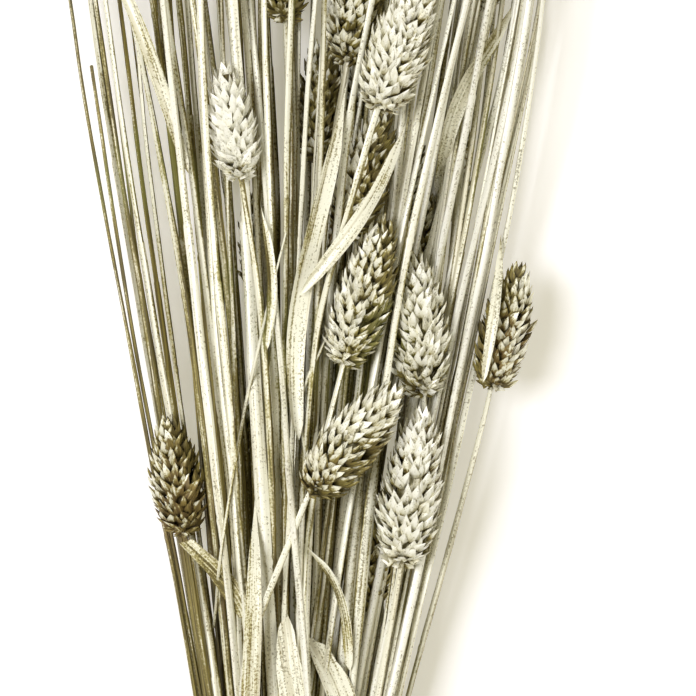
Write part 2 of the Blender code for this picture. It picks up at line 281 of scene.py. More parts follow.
class Surface:
    """Closed shapes of one piece, gathered as whole arrays: points, faces and values at the points."""

    def __init__(self):
        self.points = []
        self.quads = []
        self.triangles = []
        self.values = {}
        self.count = 0

    def spindles(self, first, rows, last, **values):
        """Adds closed shapes, each a first pole, rings of points and a last pole. first and last are
        (shapes, 3) and rows is (shapes, rings, points, 3), counter-clockwise seen from the last pole.
        Each value is an array that fits (shapes, rings, points), or that with a last axis of 3."""
        shapes, rings, around = rows.shape[:3]
        flat = np.concatenate([first[:, None], rows.reshape(shapes, -1, 3), last[:, None]], axis=1)
        start = self.count + np.arange(shapes)[:, None, None] * (rings * around + 2)
        here = np.arange(around)
        beside = (here + 1) % around
        ring = 1 + np.arange(rings - 1)[:, None] * around
        quads = np.stack([ring + here, ring + beside, ring + beside + around, ring + here + around], axis=-1)
        foot = np.stack([0 * here, 1 + beside, 1 + here], axis=-1)
        top = 1 + (rings - 1) * around
        point = np.stack([0 * here + rings * around + 1, top + here, top + beside], axis=-1)
        self.points.append(flat.reshape(-1, 3))
        self.quads.append((start + quads.reshape(1, -1, 4)).reshape(-1, 4))
        self.triangles.append((start + np.concatenate([foot, point])[None]).reshape(-1, 3))
        self.count += flat.shape[0] * flat.shape[1]
        for name, value in values.items():
            width = (3,) if name == "grain" else ()
            value = np.broadcast_to(value, (shapes, rings, around) + width)
            value = value.reshape((shapes, rings * around) + width)
            poles = value[:, :around].mean(axis=1)[:, None], value[:, -around:].mean(axis=1)[:, None]
            value = np.concatenate([poles[0], value, poles[1]], axis=1)
            self.values.setdefault(name, []).append(value.reshape((-1,) + width))

    def spindle(self, first, rows, last, **values):
        """Adds one closed shape."""
        values = {name: value[None] for name, value in values.items()}
        self.spindles(first[None], rows[None], last[None], **values)

    def make(self, name, material, crease=40.0):
        """The piece as an object. Edges sharper than crease degrees stay sharp."""
        points = np.concatenate(self.points)
        points[:, 2] = np.maximum(points[:, 2], 0.02 * MM)
        quads, triangles = np.concatenate(self.quads), np.concatenate(self.triangles)
        corners = np.concatenate([quads.ravel(), triangles.ravel()]).astype(np.int32)
        starts = np.concatenate([np.arange(len(quads)) * 4, len(quads) * 4 + np.arange(len(triangles)) * 3])
        mesh = bpy.data.meshes.new(name)
        mesh.vertices.add(len(points))
        mesh.vertices.foreach_set("co", points.astype(np.float32).ravel())
        mesh.loops.add(len(corners))
        mesh.loops.foreach_set("vertex_index", corners)
        mesh.polygons.add(len(starts))
        mesh.polygons.foreach_set("loop_start", starts.astype(np.int32))
        mesh.polygons.foreach_set("use_smooth", np.ones(len(starts), bool))
        for key, parts in self.values.items():
            value = np.concatenate(parts).astype(np.float32)
            kind, field = ("FLOAT_VECTOR", "vector") if value.ndim == 2 else ("FLOAT", "value")
            mesh.attributes.new(key, kind, "POINT").data.foreach_set(field, value.ravel())
        mesh.update(calc_edges=True)
        mesh.set_sharp_from_angle(angle=math.radians(crease))
        mesh.materials.append(material)
        made = bpy.data.objects.new(name, mesh)
        bpy.context.scene.collection.objects.link(made)
        return made


def lighter_right_and_top(points):
    """How much lighter some points of the straws are made than the bundle's middle: the paint's cover is
    raised there and the painted shade is lessened. It rises to the right from -0.6 to 1 at 40 mm from the
    middle, and by another 0.8 towards the upper heads."""
    right = np.clip((points[..., 0] - TIE[0] - 2 * MM) / (40 * MM), -0.6, 1.0)
    return right + 0.8 * np.clip((points[..., 1] - TIE[1] - 180 * MM) / (90 * MM), 0, 1)


def unit(vectors):
    return vectors / np.maximum(np.linalg.norm(vectors, axis=-1, keepdims=True), 1e-12)


def square_to(ways, vectors):
    """Unit vectors along the part of some vectors that is square to given ways."""
    return unit(vectors - (vectors * ways).sum(axis=-1, keepdims=True) * ways)


def spokes(angles, sideways, upward):
    """Unit vectors at given angles round each point of a path, counted from sideways towards upward."""
    return np.cos(angles)[:, None] * sideways[:, None] + np.sin(angles)[:, None] * upward[:, None]


def frames(path):
    """Along, sideways and upward directions at each point of a path that never points straight up.
    Sideways is level, and sideways x upward = along."""
    along = unit(np.gradient(path, axis=0))
    sideways = unit(np.cross(UP, along))
    return along, sideways, np.cross(along, sideways)


def ripple(rng, places, spacing):
    """A smooth random line from about -1 to 1: random heights every spacing, joined by cosine steps."""
    places = np.asarray(places)
    knots = rng.uniform(-1, 1, int(np.ptp(places) / spacing) + 3)
    where = (places - places.min()) / spacing
    left = where.astype(int)
    share = (1 - np.cos((where - left) * math.pi)) / 2
    return knots[left] * (1 - share) + knots[left + 1] * share


# Where rings stand round a knot and round the rim of a leaf sheath, up the straw
KNOT_RINGS = np.array([-1.4, -0.7, -0.2, 0.3, 0.9, 1.7, 2.6]) * MM
RIM_RINGS = np.array([-0.5, -0.1, 0.3]) * MM

# The hollow cut end, from the bottom of the hollow out over its rim: how far up the straw each ring stands,
# in millimetres, and its radius as a share of the straw's
CUT_END = np.array([[1.8, 0.50], [0.15, 0.55], [0.0, 0.75], [0.05, 0.97]])


def straw_rings(path, radius, rng, swell, sheath_swell, spacing):
    """A straw's rings: their places along it, middles and radii, and which of them lie in a leaf sheath.
    A radius is the path's own x (1 + knots + sheath) x (1 + two ripples), and the middle wanders off the path
    by a third of a millimetre. A knot is one bell curve less a lower one above it. The sheath is a step from
    the knot upwards that ends at a rim."""
    along = lengths(path)
    total = along[-1]
    first_knot = rng.uniform(20, 110) * MM
    knots = first_knot + np.cumsum(np.concatenate([[0], rng.uniform(95, 150, 4) * MM]))
    knots = knots[knots < total - 60 * MM]
    sheaths = rng.uniform(35, 85, len(knots)) * MM
    fine = [knot + KNOT_RINGS for knot in knots]
    fine += [knot + length + RIM_RINGS for knot, length in zip(knots, sheaths)]
    places = np.unique(np.concatenate([np.arange(0, total, spacing), *fine, [total]]).clip(0, total))
    places = places[np.concatenate([[True], np.diff(places) > 0.12 * MM])]
    knot_rise = np.zeros(len(places))
    in_sheath = np.zeros(len(places))
    for knot, length in zip(knots, sheaths):
        away = places - knot
        ridge = np.exp(-(((away + 0.3 * MM) / (0.8 * MM)) ** 2))
        groove = np.exp(-(((away - 1.6 * MM) / MM) ** 2))
        knot_rise += ridge - 0.35 * groove
        in_sheath = np.where((away > 1.2 * MM) & (away < length), 1.0, in_sheath)
    middle = at(places, along, path)
    wander = 0.3 * MM * np.clip(np.minimum(places, total - places) / (20 * MM), 0, 1)
    middle[:, 0] += wander * ripple(rng, places, 32 * MM)
    middle[:, 2] += wander * ripple(rng, places, 32 * MM)
    size = np.interp(places, along, radius) * (1 + swell * knot_rise + sheath_swell * in_sheath)
    size *= 1 + 0.05 * ripple(rng, places, 14 * MM) + 0.05 * ripple(rng, places, 6 * MM)
    lip, share = CUT_END[:, 0] * MM, CUT_END[:, 1]
    middle = np.concatenate([at(lip, along, path), middle[1:]])
    size = np.concatenate([share * size[0], size[1:]])
    in_sheath = np.concatenate([0 * lip, in_sheath[1:]])
    return np.concatenate([lip, places[1:]]), middle, size, in_sheath


def add_straw(surface, path, radius, core, rng, cover, tone, swell, sheath_swell, sides=10):
    """A straw from its hollow cut end to its neck, and its core up through the seed head. Each ring's radius
    is that of straw_rings x (1 + an oval that slowly turns + ribs in the angle + the sheath's seam).
    core is (points, radii) of the part inside the seed head, or None for a straw that ends bare."""
    spacing = 4.5 * MM if sides > 7 else 6.0 * MM
    places, middle, size, in_sheath = straw_rings(path, radius, rng, swell, sheath_swell, spacing)
    if core is not None:
        line, thick = core
        middle = np.concatenate([middle, line[1:-1]])
        size = np.concatenate([size, thick[1:-1]])
        places = np.concatenate([places, lengths(path)[-1] + lengths(line)[1:-1]])
        in_sheath = np.concatenate([in_sheath, np.zeros(len(line) - 2)])
    _, sideways, upward = frames(np.concatenate([middle[3:4], middle[3:]]))
    sideways = np.concatenate([np.repeat(sideways[:1], 3, axis=0), sideways[1:]])
    upward = np.concatenate([np.repeat(upward[:1], 3, axis=0), upward[1:]])
    angle = np.arange(sides) * TURN / sides
    turn = rng.uniform(0, TURN) + 0.8 * ripple(rng, places, 80 * MM)
    oval = rng.uniform(0.04, 0.20) * np.cos(2 * (angle[None, :] - turn[:, None]))
    rib = 0.06 * rng.uniform(-1, 1, sides)[None, :]
    seam = 0.10 * in_sheath[:, None] * np.exp(-((np.cos(angle[None, :] - turn[:, None]) - 1) / 0.12) ** 2)
    ring = size[:, None] * (1 + oval + rib + seam)
    out = spokes(angle, sideways, upward)
    rows = middle[:, None] + ring[..., None] * out
    end = core[0][-1] if core is not None else path[-1] + unit(path[-1] - path[-2]) * size[-1] * 0.4
    seed = rng.uniform(0, 1)
    arc = (angle / TURN)[None, :] * size[:, None] * TURN
    grain = np.stack(np.broadcast_arrays(arc, places[:, None], seed), axis=-1)
    share = height_share(rows) + 0.15 * lighter_right_and_top(rows)
    level = cover + 0.46 * (out @ SPRAY - 0.42) + 0.40 * (share - 0.6) + 0.16 * lighter_right_and_top(rows)
    level = level + 0.14 * ripple(rng, places, 22 * MM)[:, None] + 0.10 * in_sheath[:, None]
    # No paint got into the hollow of the cut end, and less of it between the spikelets than on the straw.
    hollow = np.arange(len(places)) < 2
    in_head = np.arange(len(places)) > len(places) - (0 if core is None else len(core[0]) - 1)
    level = np.where(hollow[:, None], 0.0, level - 0.3 * in_head[:, None])
    # Painted shade: the hollow and the core between the spikelets are darkened, and lower straws are darker
    # than upper ones, less so to the right and the top.
    light = np.select([hollow, in_head], [0.35, 0.6], 1.0)
    shade = tone * light[:, None] * (0.76 + 0.28 * np.clip(share, 0, 1))
    surface.spindle(middle[0], rows, end, cover=level, tone=shade, grain=grain)


# One husk of a spikelet: where its rings are along it, and how wide, how high its keel and how deep its belly
# is there. The heads of thin stalks have the plain one.
HUSK = np.array([[0.14, 0.64, 0.60, 0.40], [0.42, 1.05, 1.00, 0.30], [0.74, 0.48, 0.66, 0.12]])
PLAIN_HUSK = np.array([[0.32, 0.88, 0.85, 0.40], [0.70, 0.78, 0.76, 0.15]])


class HeadLook(typing.NamedTuple):
    """How well the paint covers a seed head, the way that it was sprayed from, how high the keels of the
    head's husks stand, as a share of the usual, and how much thicker the paint lies at its tip than at its
    base."""

    cover: float
    spray: tuple = (-0.15, 0.0, 0.99)
    keel: float = 1.0
    rise: float = 0.0


class Spikelets(typing.NamedTuple):
    """The spikelets of a seed head, a row each: the share of the way up the head, the foot and the point, the
    way that it grows, the way out from the head's axis, the way that it faces, the way across it, and its
    length."""

    share: np.ndarray
    foot: np.ndarray
    point: np.ndarray
    way: np.ndarray
    radial: np.ndarray
    facing: np.ndarray
    across: np.ndarray
    long: np.ndarray


def stood_spikelets(stalk, rng, length, room):
    """Spikelets stand on a sunflower lattice: each next one is a golden angle further round, at the height
    that has the next equal share of the head's area below it. It leans out from the axis by an angle that
    falls from the head's base to its tip, and its point ends on the head's outline."""
    base, tall = stalk.base, np.linalg.norm(stalk.tip - stalk.base)
    axis = (stalk.tip - base) / tall
    side = unit(np.cross(axis, UP))
    other = np.cross(axis, side)
    fine = np.linspace(0, 1, 200)
    outline = np.interp(fine, stalk.shares, stalk.reach)
    slant = np.hypot(np.diff(outline), tall / (len(fine) - 1))
    area = np.concatenate([[0], np.cumsum((outline[1:] + outline[:-1]) / 2 * slant)]) * TURN
    count = int(area[-1] / room**2)
    order = (np.arange(count) + 0.5 + rng.uniform(-0.2, 0.2, count)) / count
    share = 0.005 + 1.01 * np.interp(order * area[-1], area, fine)
    around = np.arange(count) * GOLDEN_ANGLE + rng.uniform(-0.10, 0.10, count) + rng.uniform(0, TURN)
    lean = np.interp(share, [0, 0.04, 0.10, 0.22, 0.5, 0.8, 1.0], [112, 95, 70, 47, 34, 27, 7])
    lean = np.radians(lean + rng.normal(0, 5.0, count))
    radial = np.cos(around)[:, None] * side + np.sin(around)[:, None] * other
    # The point stands out by the outline there, a little more or less from one to the next.
    reach = np.interp(share, fine, outline) * rng.uniform(0.90, 1.05, count)
    long = length * np.interp(share, [0, 0.12, 0.4, 0.8, 1], [0.55, 0.85, 1.0, 0.95, 0.85])
    long = long * rng.uniform(0.82, 1.12, count)
    # None is so long that its foot would stick out of the head's other side or below its base.
    long = np.minimum(long, (reach - 0.25 * MM).clip(MM) / np.sin(lean).clip(0.1))
    up_head = tall * share / np.cos(lean).clip(0.2) + 1.5 * MM
    long = np.where(lean < 1.4, np.minimum(long, up_head), long)
    point = base + share[:, None] * tall * axis + reach[:, None] * radial
    way = np.cos(lean)[:, None] * axis + np.sin(lean)[:, None] * radial
    way = unit(way + rng.normal(0, 0.15, count)[:, None] * np.cross(axis, radial))
    facing = square_to(way, radial)
    across = np.cross(facing, way)
    roll = rng.normal(0, 0.34, count)[:, None]
    rolled = facing * np.cos(roll) + across * np.sin(roll)
    across = across * np.cos(roll) - facing * np.sin(roll)
    return Spikelets(share, point - long[:, None] * way, point, way, radial, rolled, across, long)


def husk_pairs(spikelets, rng, length, width, husk, keel_share):
    """A spikelet is two husks side by side, each a closed keeled sliver drawn on four points a ring: its
    edges, its keel and its belly. The two lean apart at their points and each turns its keel a little
    outward. Returns, with a first axis for the spikelets and a second for the two husks, their feet, rings
    and points, the way that each point of a ring looks, and how far it is across and along the husk."""
    share, foot, _, way, _, facing, across, long = spikelets
    count = len(share)
    pair = np.array([-1.0, 1.0])
    half = width / 3.1 * np.interp(share, [0, 0.15, 0.8, 1], [0.75, 1.0, 0.95, 0.70])
    half = half * rng.uniform(0.9, 1.15, count)
    half = half[:, None] * rng.uniform(0.88, 1.12, (count, 2))
    foot = foot[:, None] + (pair * 0.40 * half)[..., None] * across[:, None]
    apart = pair * rng.uniform(0.05, 0.17, (count, 1)) + rng.normal(0, 0.03, (count, 2))
    tilt = pair * rng.uniform(0.30, 0.62, (count, 1)) + rng.normal(0, 0.10, (count, 2))
    facing = np.cos(tilt)[..., None] * facing[:, None] + np.sin(tilt)[..., None] * across[:, None]
    way = unit(way[:, None] + apart[..., None] * across[:, None])
    facing = square_to(way, facing)
    across = np.cross(facing, way)
    long = long[:, None] * rng.uniform(0.90, 1.06, (count, 2))

    along, wide, keel, belly = husk.T * np.array([1, 1, keel_share, 1])[:, None]
    none = 0 * along
    arch = 0.30 * MM * np.sin(along * math.pi)
    to_side = np.stack([wide, none, -wide, none], axis=1) + np.array([0, 0.30, 0, 0]) * pair[:, None, None]
    to_front = np.stack([none, keel, none, -belly], axis=1) * 0.85 * MM + arch[:, None]
    sideways = half[..., None, None] * to_side
    forward = (long / length)[..., None, None] * to_front
    upward = long[..., None, None] * along[:, None]
    rows = foot[:, :, None, None] + upward[..., None] * way[:, :, None, None]
    rows = rows + sideways[..., None] * across[:, :, None, None]
    rows = rows + forward[..., None] * facing[:, :, None, None]
    end = foot + long[..., None] * way + facing * 0.12 * MM
    looks = np.stack([across + 0.6 * facing, facing, 0.6 * facing - across, -facing], axis=2)
    return foot, rows, end, looks, sideways, upward


def husk_paint(spikelets, looks, along, rng, look, tone):
    """How well the paint covers each point of the husks, and its tone there: a random tone of each husk times
    painted shade that darkens it towards its foot, on its edges and most on its belly. The paint lies
    thickest on the side of the head, and of each husk, that it was sprayed from, and on the husks' points."""
    count = len(spikelets.share)
    cover = (look.cover + look.rise * (spikelets.share - 0.5))[:, None]
    spray = unit(np.array(look.spray, float))
    # The side that it wasn't sprayed from caught some of it too.
    sprayed = 0.80 * (np.maximum(unit(looks) @ spray, -0.15)[:, :, None] - 0.55)
    own = np.where(rng.uniform(0, 1, count) < 0.18, -0.30, 0.0)
    own = own + 0.55 * (np.maximum(spikelets.radial @ spray, -0.15) - 0.55)
    own = own + 0.16 * (height_share(spikelets.point) - 0.6)
    own = own[:, None] + rng.normal(0, 0.13, (count, 2))
    ramp = np.interp(along, [0.14, 0.42, 0.74], [-0.92, -0.22, 0.26])
    round_husk = np.array([-0.22, 0.08, -0.22, -0.22])
    level = (cover + own)[:, :, None, None] + sprayed + ramp[:, None] + round_husk
    # Painted shade: the tone falls towards each husk's foot, where the husks crowd, and on its edges and
    # belly.
    shade = tone * rng.uniform(0.84, 1.12, (count, 2))[..., None]
    shade = shade * np.interp(along, [0.14, 0.42, 0.74], [0.56, 0.90, 1.12])
    shade = shade[..., None] * np.array([0.84, 1.0, 0.84, 0.5])
    # Where the paint lies very thick it has run down between the husks too, and the painted shade there is
    # lifted towards full light.
    return level, shade + (1 - shade) * np.clip(cover - 1.0, 0, 0.8)[..., None, None]


def add_spikelets(surface, stalk, rng, length, width, room, husk, look, tone):
    """Covers a seed head with spikelets. husk is the shape of one husk, as in HUSK, and look a HeadLook."""
    spikelets = stood_spikelets(stalk, rng, length, room)
    foot, rows, end, looks, sideways, upward = husk_pairs(spikelets, rng, length, width, husk, look.keel)
    level, shade = husk_paint(spikelets, looks, husk[:, 0], rng, look, tone)
    seed = rng.uniform(0, 1, len(foot))[:, None, None, None]
    grain = np.stack(np.broadcast_arrays(sideways, upward, seed), axis=-1)
    arrays = (foot, rows, end, level, shade, grain)
    foot, rows, end, level, shade, grain = (array.reshape(-1, *array.shape[2:]) for array in arrays)
    surface.spindles(foot, rows, end, cover=level, tone=shade, grain=grain)


def add_blade(surface, mid, half, span, facing, thickness, rng, cover, tone, around=7, slant=0.0):
    """A dry leaf: a strip bent across its width to an arc of span radians, along a middle line. A point at
    share x of the half width is x times half the span round that arc. facing is the arc's open side.
    The strip is closed: its inner side runs from edge to edge and its outer side back, one thickness away.
    Its far end is cut off obliquely: towards it, a point moves on by slant times its x times half the
    leaf's width there."""
    along_way = unit(np.gradient(mid, axis=0))
    facing = square_to(along_way, facing)
    across = np.cross(facing, along_way)
    x = np.linspace(1, -1, around)
    x = np.concatenate([x, x[::-1][1:-1]])
    inner = np.arange(len(x)) < around
    bend = np.maximum(span, 0.05)[:, None] / 2
    angle = x * bend
    radius = half[:, None] / bend
    lift = np.where(inner, 0.5, -0.5) * thickness * (1 - 0.9 * x**2)
    places = lengths(mid)
    wave = 0.06 * half * ripple(rng, places, 7 * MM)
    outward = radius * (1 - np.cos(angle)) + lift + wave[:, None] * x
    rows = mid[:, None] + (radius * np.sin(angle))[..., None] * across[:, None]
    rows = rows + outward[..., None] * facing[:, None]
    towards = np.clip((places - places[-1]) / (12 * MM) + 1, 0, 1)[:, None]
    ragged = x + 0.25 * np.sin(7.3 * x + 1.1)
    rows = rows + (slant * half[:, None] * towards * ragged)[..., None] * along_way[:, None]
    looks = np.cos(angle)[..., None] * facing[:, None] - np.sin(angle)[..., None] * across[:, None]
    looks = looks * np.where(inner, 1.0, -1.0)[:, None]
    level = cover + 0.40 * (looks @ SPRAY - 0.5) + 0.12 * ripple(rng, places, 9 * MM)[:, None]
    # Painted shade: the side of the leaf that looks down is darker.
    shade = tone * np.where(looks[..., 2] > 0, 1.0, 0.75) * (1 + 0.05 * ripple(rng, places, 5 * MM))[:, None]
    grain = np.stack(np.broadcast_arrays(x * half[:, None], places[:, None], rng.uniform(0, 1)), axis=-1)
    surface.spindle(
        mid[0] - along_way[0] * 0.4 * MM, rows[1:-1], mid[-1],
        cover=level[1:-1], tone=shade[1:-1], grain=grain[1:-1])


# ---------------------------------------------------------------- materials


class Wiring:
    """Adds nodes to a material or a world and joins them, so that each finish reads as its own recipe."""

    def __init__(self, owner, shader="Principled BSDF"):
        owner.use_nodes = True
        self.owner = owner
        self.tree = owner.node_tree
        self.shader = self.tree.nodes[shader]

    def join(self, target, value):
        """Gives a socket what another node puts out, or a value that is the same all over."""
        if isinstance(value, bpy.types.NodeSocket):
            self.tree.links.new(value, target)
        else:
            target.default_value = value

    def node(self, kind, sockets, output=0, **settings):
        """What a new node puts out, once its settings are made and its sockets joined."""
        node = self.tree.nodes.new("ShaderNode" + kind)
        for key, value in settings.items():
            setattr(node, key, value)
        for socket, value in sockets.items():
            self.join(node.inputs[socket], value)
        return node.outputs[output]

    def shade(self, sockets):
        """Joins values to the shader's own sockets."""
        for socket, value in sockets.items():
            self.join(self.shader.inputs[socket], value)

    def attribute(self, name, output="Fac"):
        return self.node("Attribute", {}, output, attribute_name=name)

    def place(self):
        return self.node("TexCoord", {}, "Object")

    def camera_sees(self):
        return self.node("LightPath", {}, "Is Camera Ray")

    def stretched(self, vector, scale):
        return self.node("Mapping", {"Vector": vector, "Scale": scale}, "Vector")

    def noise(self, vector, scale, detail=2.0, rough=0.55):
        sockets = {"Vector": vector, "Scale": scale, "Detail": detail, "Roughness": rough}
        return self.node("TexNoise", sockets, "Fac")

    def sum(self, *terms):
        """Adds up terms, each a socket, a number or (socket, factor)."""
        total = 0.0
        for term in terms:
            value, factor = term if isinstance(term, tuple) else (term, 1.0)
            total = self.node("Math", {0: value, 1: factor, 2: total}, operation="MULTIPLY_ADD")
        return total

    def times(self, first, second):
        return self.node("Math", {0: first, 1: second}, operation="MULTIPLY")

    def step(self, value, low, high, to_low=0.0, to_high=1.0):
        """A smooth step from to_low at low to to_high at high."""
        sockets = {"Value": value, "From Min": low, "From Max": high, "To Min": to_low, "To Max": to_high}
        return self.node("MapRange", sockets, "Result", interpolation_type="SMOOTHSTEP")

    def mix(self, share, first, second, blend="MIX"):
        return self.node("Mix", {0: share, 6: first, 7: second}, 2, data_type="RGBA", blend_type=blend)

    def darkened(self, colour, light):
        """A colour times a light that runs from 0, black, to 1."""
        return self.mix(1.0, colour, self.mix(light, (0, 0, 0, 1), (1, 1, 1, 1)), "MULTIPLY")

    def bump(self, height, strength, distance):
        sockets = {"Strength": strength, "Distance": distance, "Height": height}
        self.shade({"Normal": self.node("Bump", sockets, "Normal")})


# What the paint's colour is multiplied by in the darker bands along the straw, which are painted shade of
# its ribs and flat facets, and in places that get less light, where shade is painted
RIB_SHADE_BAND = (0.62, 0.58, 0.46, 1.0)
BROWNER = (1.0, 0.92, 0.60, 1.0)


def painted_finish(name, streaks, fleck, speckle, chipped, metal, bump):
    """Dry plant matter under a thin, worn coat of champagne paint. The paint shows where the piece's own
    cover value, streaks along the grain and flecks add up to enough. streaks is the size of the grain
    pattern across and along it, fleck that of the flecks, per metre. chipped is how much of it has gone."""
    colours = bpy.context.scene.canary_colours
    wiring = Wiring(bpy.data.materials.new(name))
    grain = wiring.attribute("grain", "Vector")
    cover = wiring.attribute("cover")
    tone = wiring.attribute("tone")
    place = wiring.place()
    streak = wiring.noise(wiring.stretched(grain, (*streaks, 40.0)), 1.0, 2.0, 0.6)
    flecks = wiring.noise(place, fleck, 3.0, 0.65)
    patch = wiring.noise(place, 70.0, 2.0)
    hue = wiring.noise(place, 28.0, 1.0)
    # Darker bands along the grain, which paint the shade of the straw's ribs and flat facets
    rib_shade_band = wiring.noise(wiring.stretched(grain, (800.0, 12.0, 40.0)), 1.0, 1.0)
    amount = wiring.sum(cover, (streak, 1.05), (flecks, speckle), (patch, 0.45), -0.75 - speckle / 2)

    # However thick the paint, it has chipped off in specks and along some of the grain.
    worn = wiring.sum((flecks, 1.0), (streak, 0.55), (patch, 0.25))
    chips = wiring.step(worn, chipped, chipped + 0.10, 0.35)
    paint_share = wiring.times(wiring.step(amount, 0.34, 0.62), chips)
    bare = wiring.mix(wiring.step(streak, 0.38, 0.62), colours.old_straw, colours.straw)
    bare = wiring.mix(wiring.step(hue, 0.58, 0.70, 0.0, 0.65), bare, colours.green)
    bare = wiring.mix(wiring.step(hue, 0.42, 0.30, 0.0, 0.35), bare, colours.rust)
    thick = wiring.step(wiring.sum(amount, (streak, 0.5), (patch, 0.5), -0.50), 0.40, 0.85)
    colour = wiring.mix(paint_share, bare, wiring.mix(thick, colours.thin_paint, colours.paint))
    colour = wiring.mix(wiring.step(rib_shade_band, 0.50, 0.36, 0.0, 0.7), colour, RIB_SHADE_BAND, "MULTIPLY")
    # Very thick paint hides the darker bands of painted rib shade below it.
    colour = wiring.mix(wiring.times(wiring.step(amount, 1.12, 1.75), chips), colour, colours.thick_paint)
    # Places darkened by painted shade, and pieces of darker tone, are browner too.
    colour = wiring.mix(wiring.step(tone, 0.95, 0.30), colour, BROWNER, "MULTIPLY")
    # The tone attribute darkens the colour: a random tone of each piece times the painted shade put in it.
    wiring.shade({
        "Base Color": wiring.darkened(colour, wiring.step(tone, 0.0, 1.0)),
        "Metallic": wiring.step(paint_share, 0.3, 1.0, 0.0, metal),
        "Roughness": wiring.step(wiring.sum((flecks, 0.5), (paint_share, -0.35)), -0.2, 0.4, 0.42, 0.75),
        "Specular IOR Level": 0.75,
    })
    wiring.bump(wiring.sum((streak, 0.8), (flecks, 0.45), (paint_share, 0.25)), bump, 0.12 * MM)
    return wiring.owner


@functools.cache
def straw_finish():
    return painted_finish("painted straw", (2100.0, 55.0), 1700.0, 0.85, 0.72, 0.08, 0.60)


@functools.cache
def leaf_finish():
    return painted_finish("painted dry leaf", (1900.0, 45.0), 1900.0, 1.00, 0.75, 0.06, 0.50)


@functools.cache
def twine_finish():
    """Jute: fibres run along each strand. Its tone holds painted shade: each strand is lighter where it looks
    outward and dark between the strands.
    """
    jute = bpy.context.scene.canary_colours.twine
    wiring = Wiring(bpy.data.materials.new("jute twine"))
    grain = wiring.attribute("grain", "Vector")
    tone = wiring.attribute("tone")
    fibre = wiring.noise(wiring.stretched(grain, (6000.0, 350.0, 40.0)), 1.0, 3.0, 0.65)
    stain = wiring.noise(wiring.place(), 260.0, 2.0)
    shaded = (*(0.45 * part for part in jute[:3]), 1.0)
    colour = wiring.mix(wiring.step(fibre, 0.35, 0.7), shaded, jute)
    colour = wiring.mix(wiring.step(stain, 0.5, 0.75, 0.0, 0.5), colour, (0.55, 0.42, 0.25, 1.0))
    wiring.shade({
        "Base Color": wiring.darkened(colour, tone),
        "Roughness": wiring.step(fibre, 0.2, 0.8, 0.95, 0.75),
    })
    wiring.bump(fibre, 0.8, 0.2 * MM)
    return wiring.owner


def floor_finish():
    """A plain matt surface. The camera sees it lit by a painted glow, a little paler than it is, so that it
    is near white round the shadow; the glow is warm yellow near the bundle, which lightens and yellows its
    shadow, and grows paler and whiter from 0.15 m to 1.7 m away, where the lamps don't reach."""
    wiring = Wiring(bpy.data.materials.new("floor"))
    far = wiring.step(wiring.node("VectorMath", {0: wiring.place()}, "Value", operation="LENGTH"), 0.15, 1.7)
    wiring.shade({
        "Base Color": bpy.context.scene.canary_colours.floor,
        "Roughness": 0.9,
        "Specular IOR Level": 0.1,
        "Emission Strength": wiring.times(wiring.camera_sees(), wiring.sum(0.31, (far, 0.39))),
        "Emission Color": wiring.mix(far, (1.0, 0.94, 0.68, 1.0), (1.0, 0.99, 0.97, 1.0)),
    })
    return wiring.owner


def studio_world():
    """Warm, weak light from all round the bundle, and near white where the camera looks past the floor."""
    wiring = Wiring(bpy.data.worlds.new("studio"), "Background")
    seen = wiring.camera_sees()
    wiring.shade({
        "Color": wiring.mix(seen, (1.0, 0.93, 0.64, 1.0), (1.0, 0.985, 0.96, 1.0)),
        "Strength": wiring.step(seen, 0.0, 1.0, 0.34, 0.95),
    })
    return wiring.owner


# ---------------------------------------------------------------- thin stalks


def crossed_at_tie(stalk):
    """Where a straw crosses the tie's middle plane, along X and Z, and its radius there."""
    return at(TIE[1:2], stalk.path[:, 1], np.column_stack([stalk.path[:, [0, 2]], stalk.radius]))[0]


def tie_gaps(count, sizes):
    """Free places between the thick straws where the twine grips them, and how thick a straw fits in each.
    Over and over, the place with the most room is taken, out of a fine grid within the twine."""
    lines = np.array([crossed_at_tie(stalk) for stalk in packed_stalks()])
    inner = (TIE_HIGH[0] - TIE_LOW[0]) / 2 - 2 * sizes.twine_radius - 0.1 * MM
    steps = np.arange(-inner, inner, 0.14 * MM)
    grid = np.stack(np.meshgrid(steps, steps), axis=-1).reshape(-1, 2)
    from_middle = np.linalg.norm(grid, axis=1)
    grid = grid + TIE[[0, 2]]
    room = inner - from_middle
    apart = np.linalg.norm(grid[:, None] - lines[None, :, :2], axis=2) - lines[:, 2] * sizes.straw_share
    room = np.minimum(room, apart.min(axis=1))
    gaps = []
    while len(gaps) < count and room.max() > 0.40 * MM:
        best = int(np.argmax(room))
        fits = min(room[best] - 0.03 * MM, sizes.thin_radius)
        gaps.append((*grid[best], fits))
        room = np.minimum(room, np.linalg.norm(grid - grid[best], axis=1) - fits)
    return np.array(gaps)


def dealt(places, wanted):
    """For each wanted direction one place on its own side: both are put in order by angle, ring by ring."""
    middle = places.mean(axis=0)
    ring = np.argsort(np.argsort(np.linalg.norm((places - middle)[:, :2], axis=1))) * 4 // len(places)
    want_ring = np.argsort(np.argsort(np.linalg.norm(wanted, axis=1))) * 4 // len(places)
    angle = np.arctan2(places[:, 1] - middle[1], places[:, 0] - middle[0])
    want_angle = np.arctan2(wanted[:, 1], wanted[:, 0])
    deal = np.empty(len(places), int)
    deal[np.lexsort((want_angle, want_ring))] = np.lexsort((angle, ring))
    return places[deal]


# The fan that the thin stalks fill: how fast its half width grows along the bundle, and its greatest one
FAN_SLOPE = 0.205
FAN_WIDEST = 60 * MM

# How far thin stalks keep from the solids and from each other
CLEARANCE = 0.15 * MM

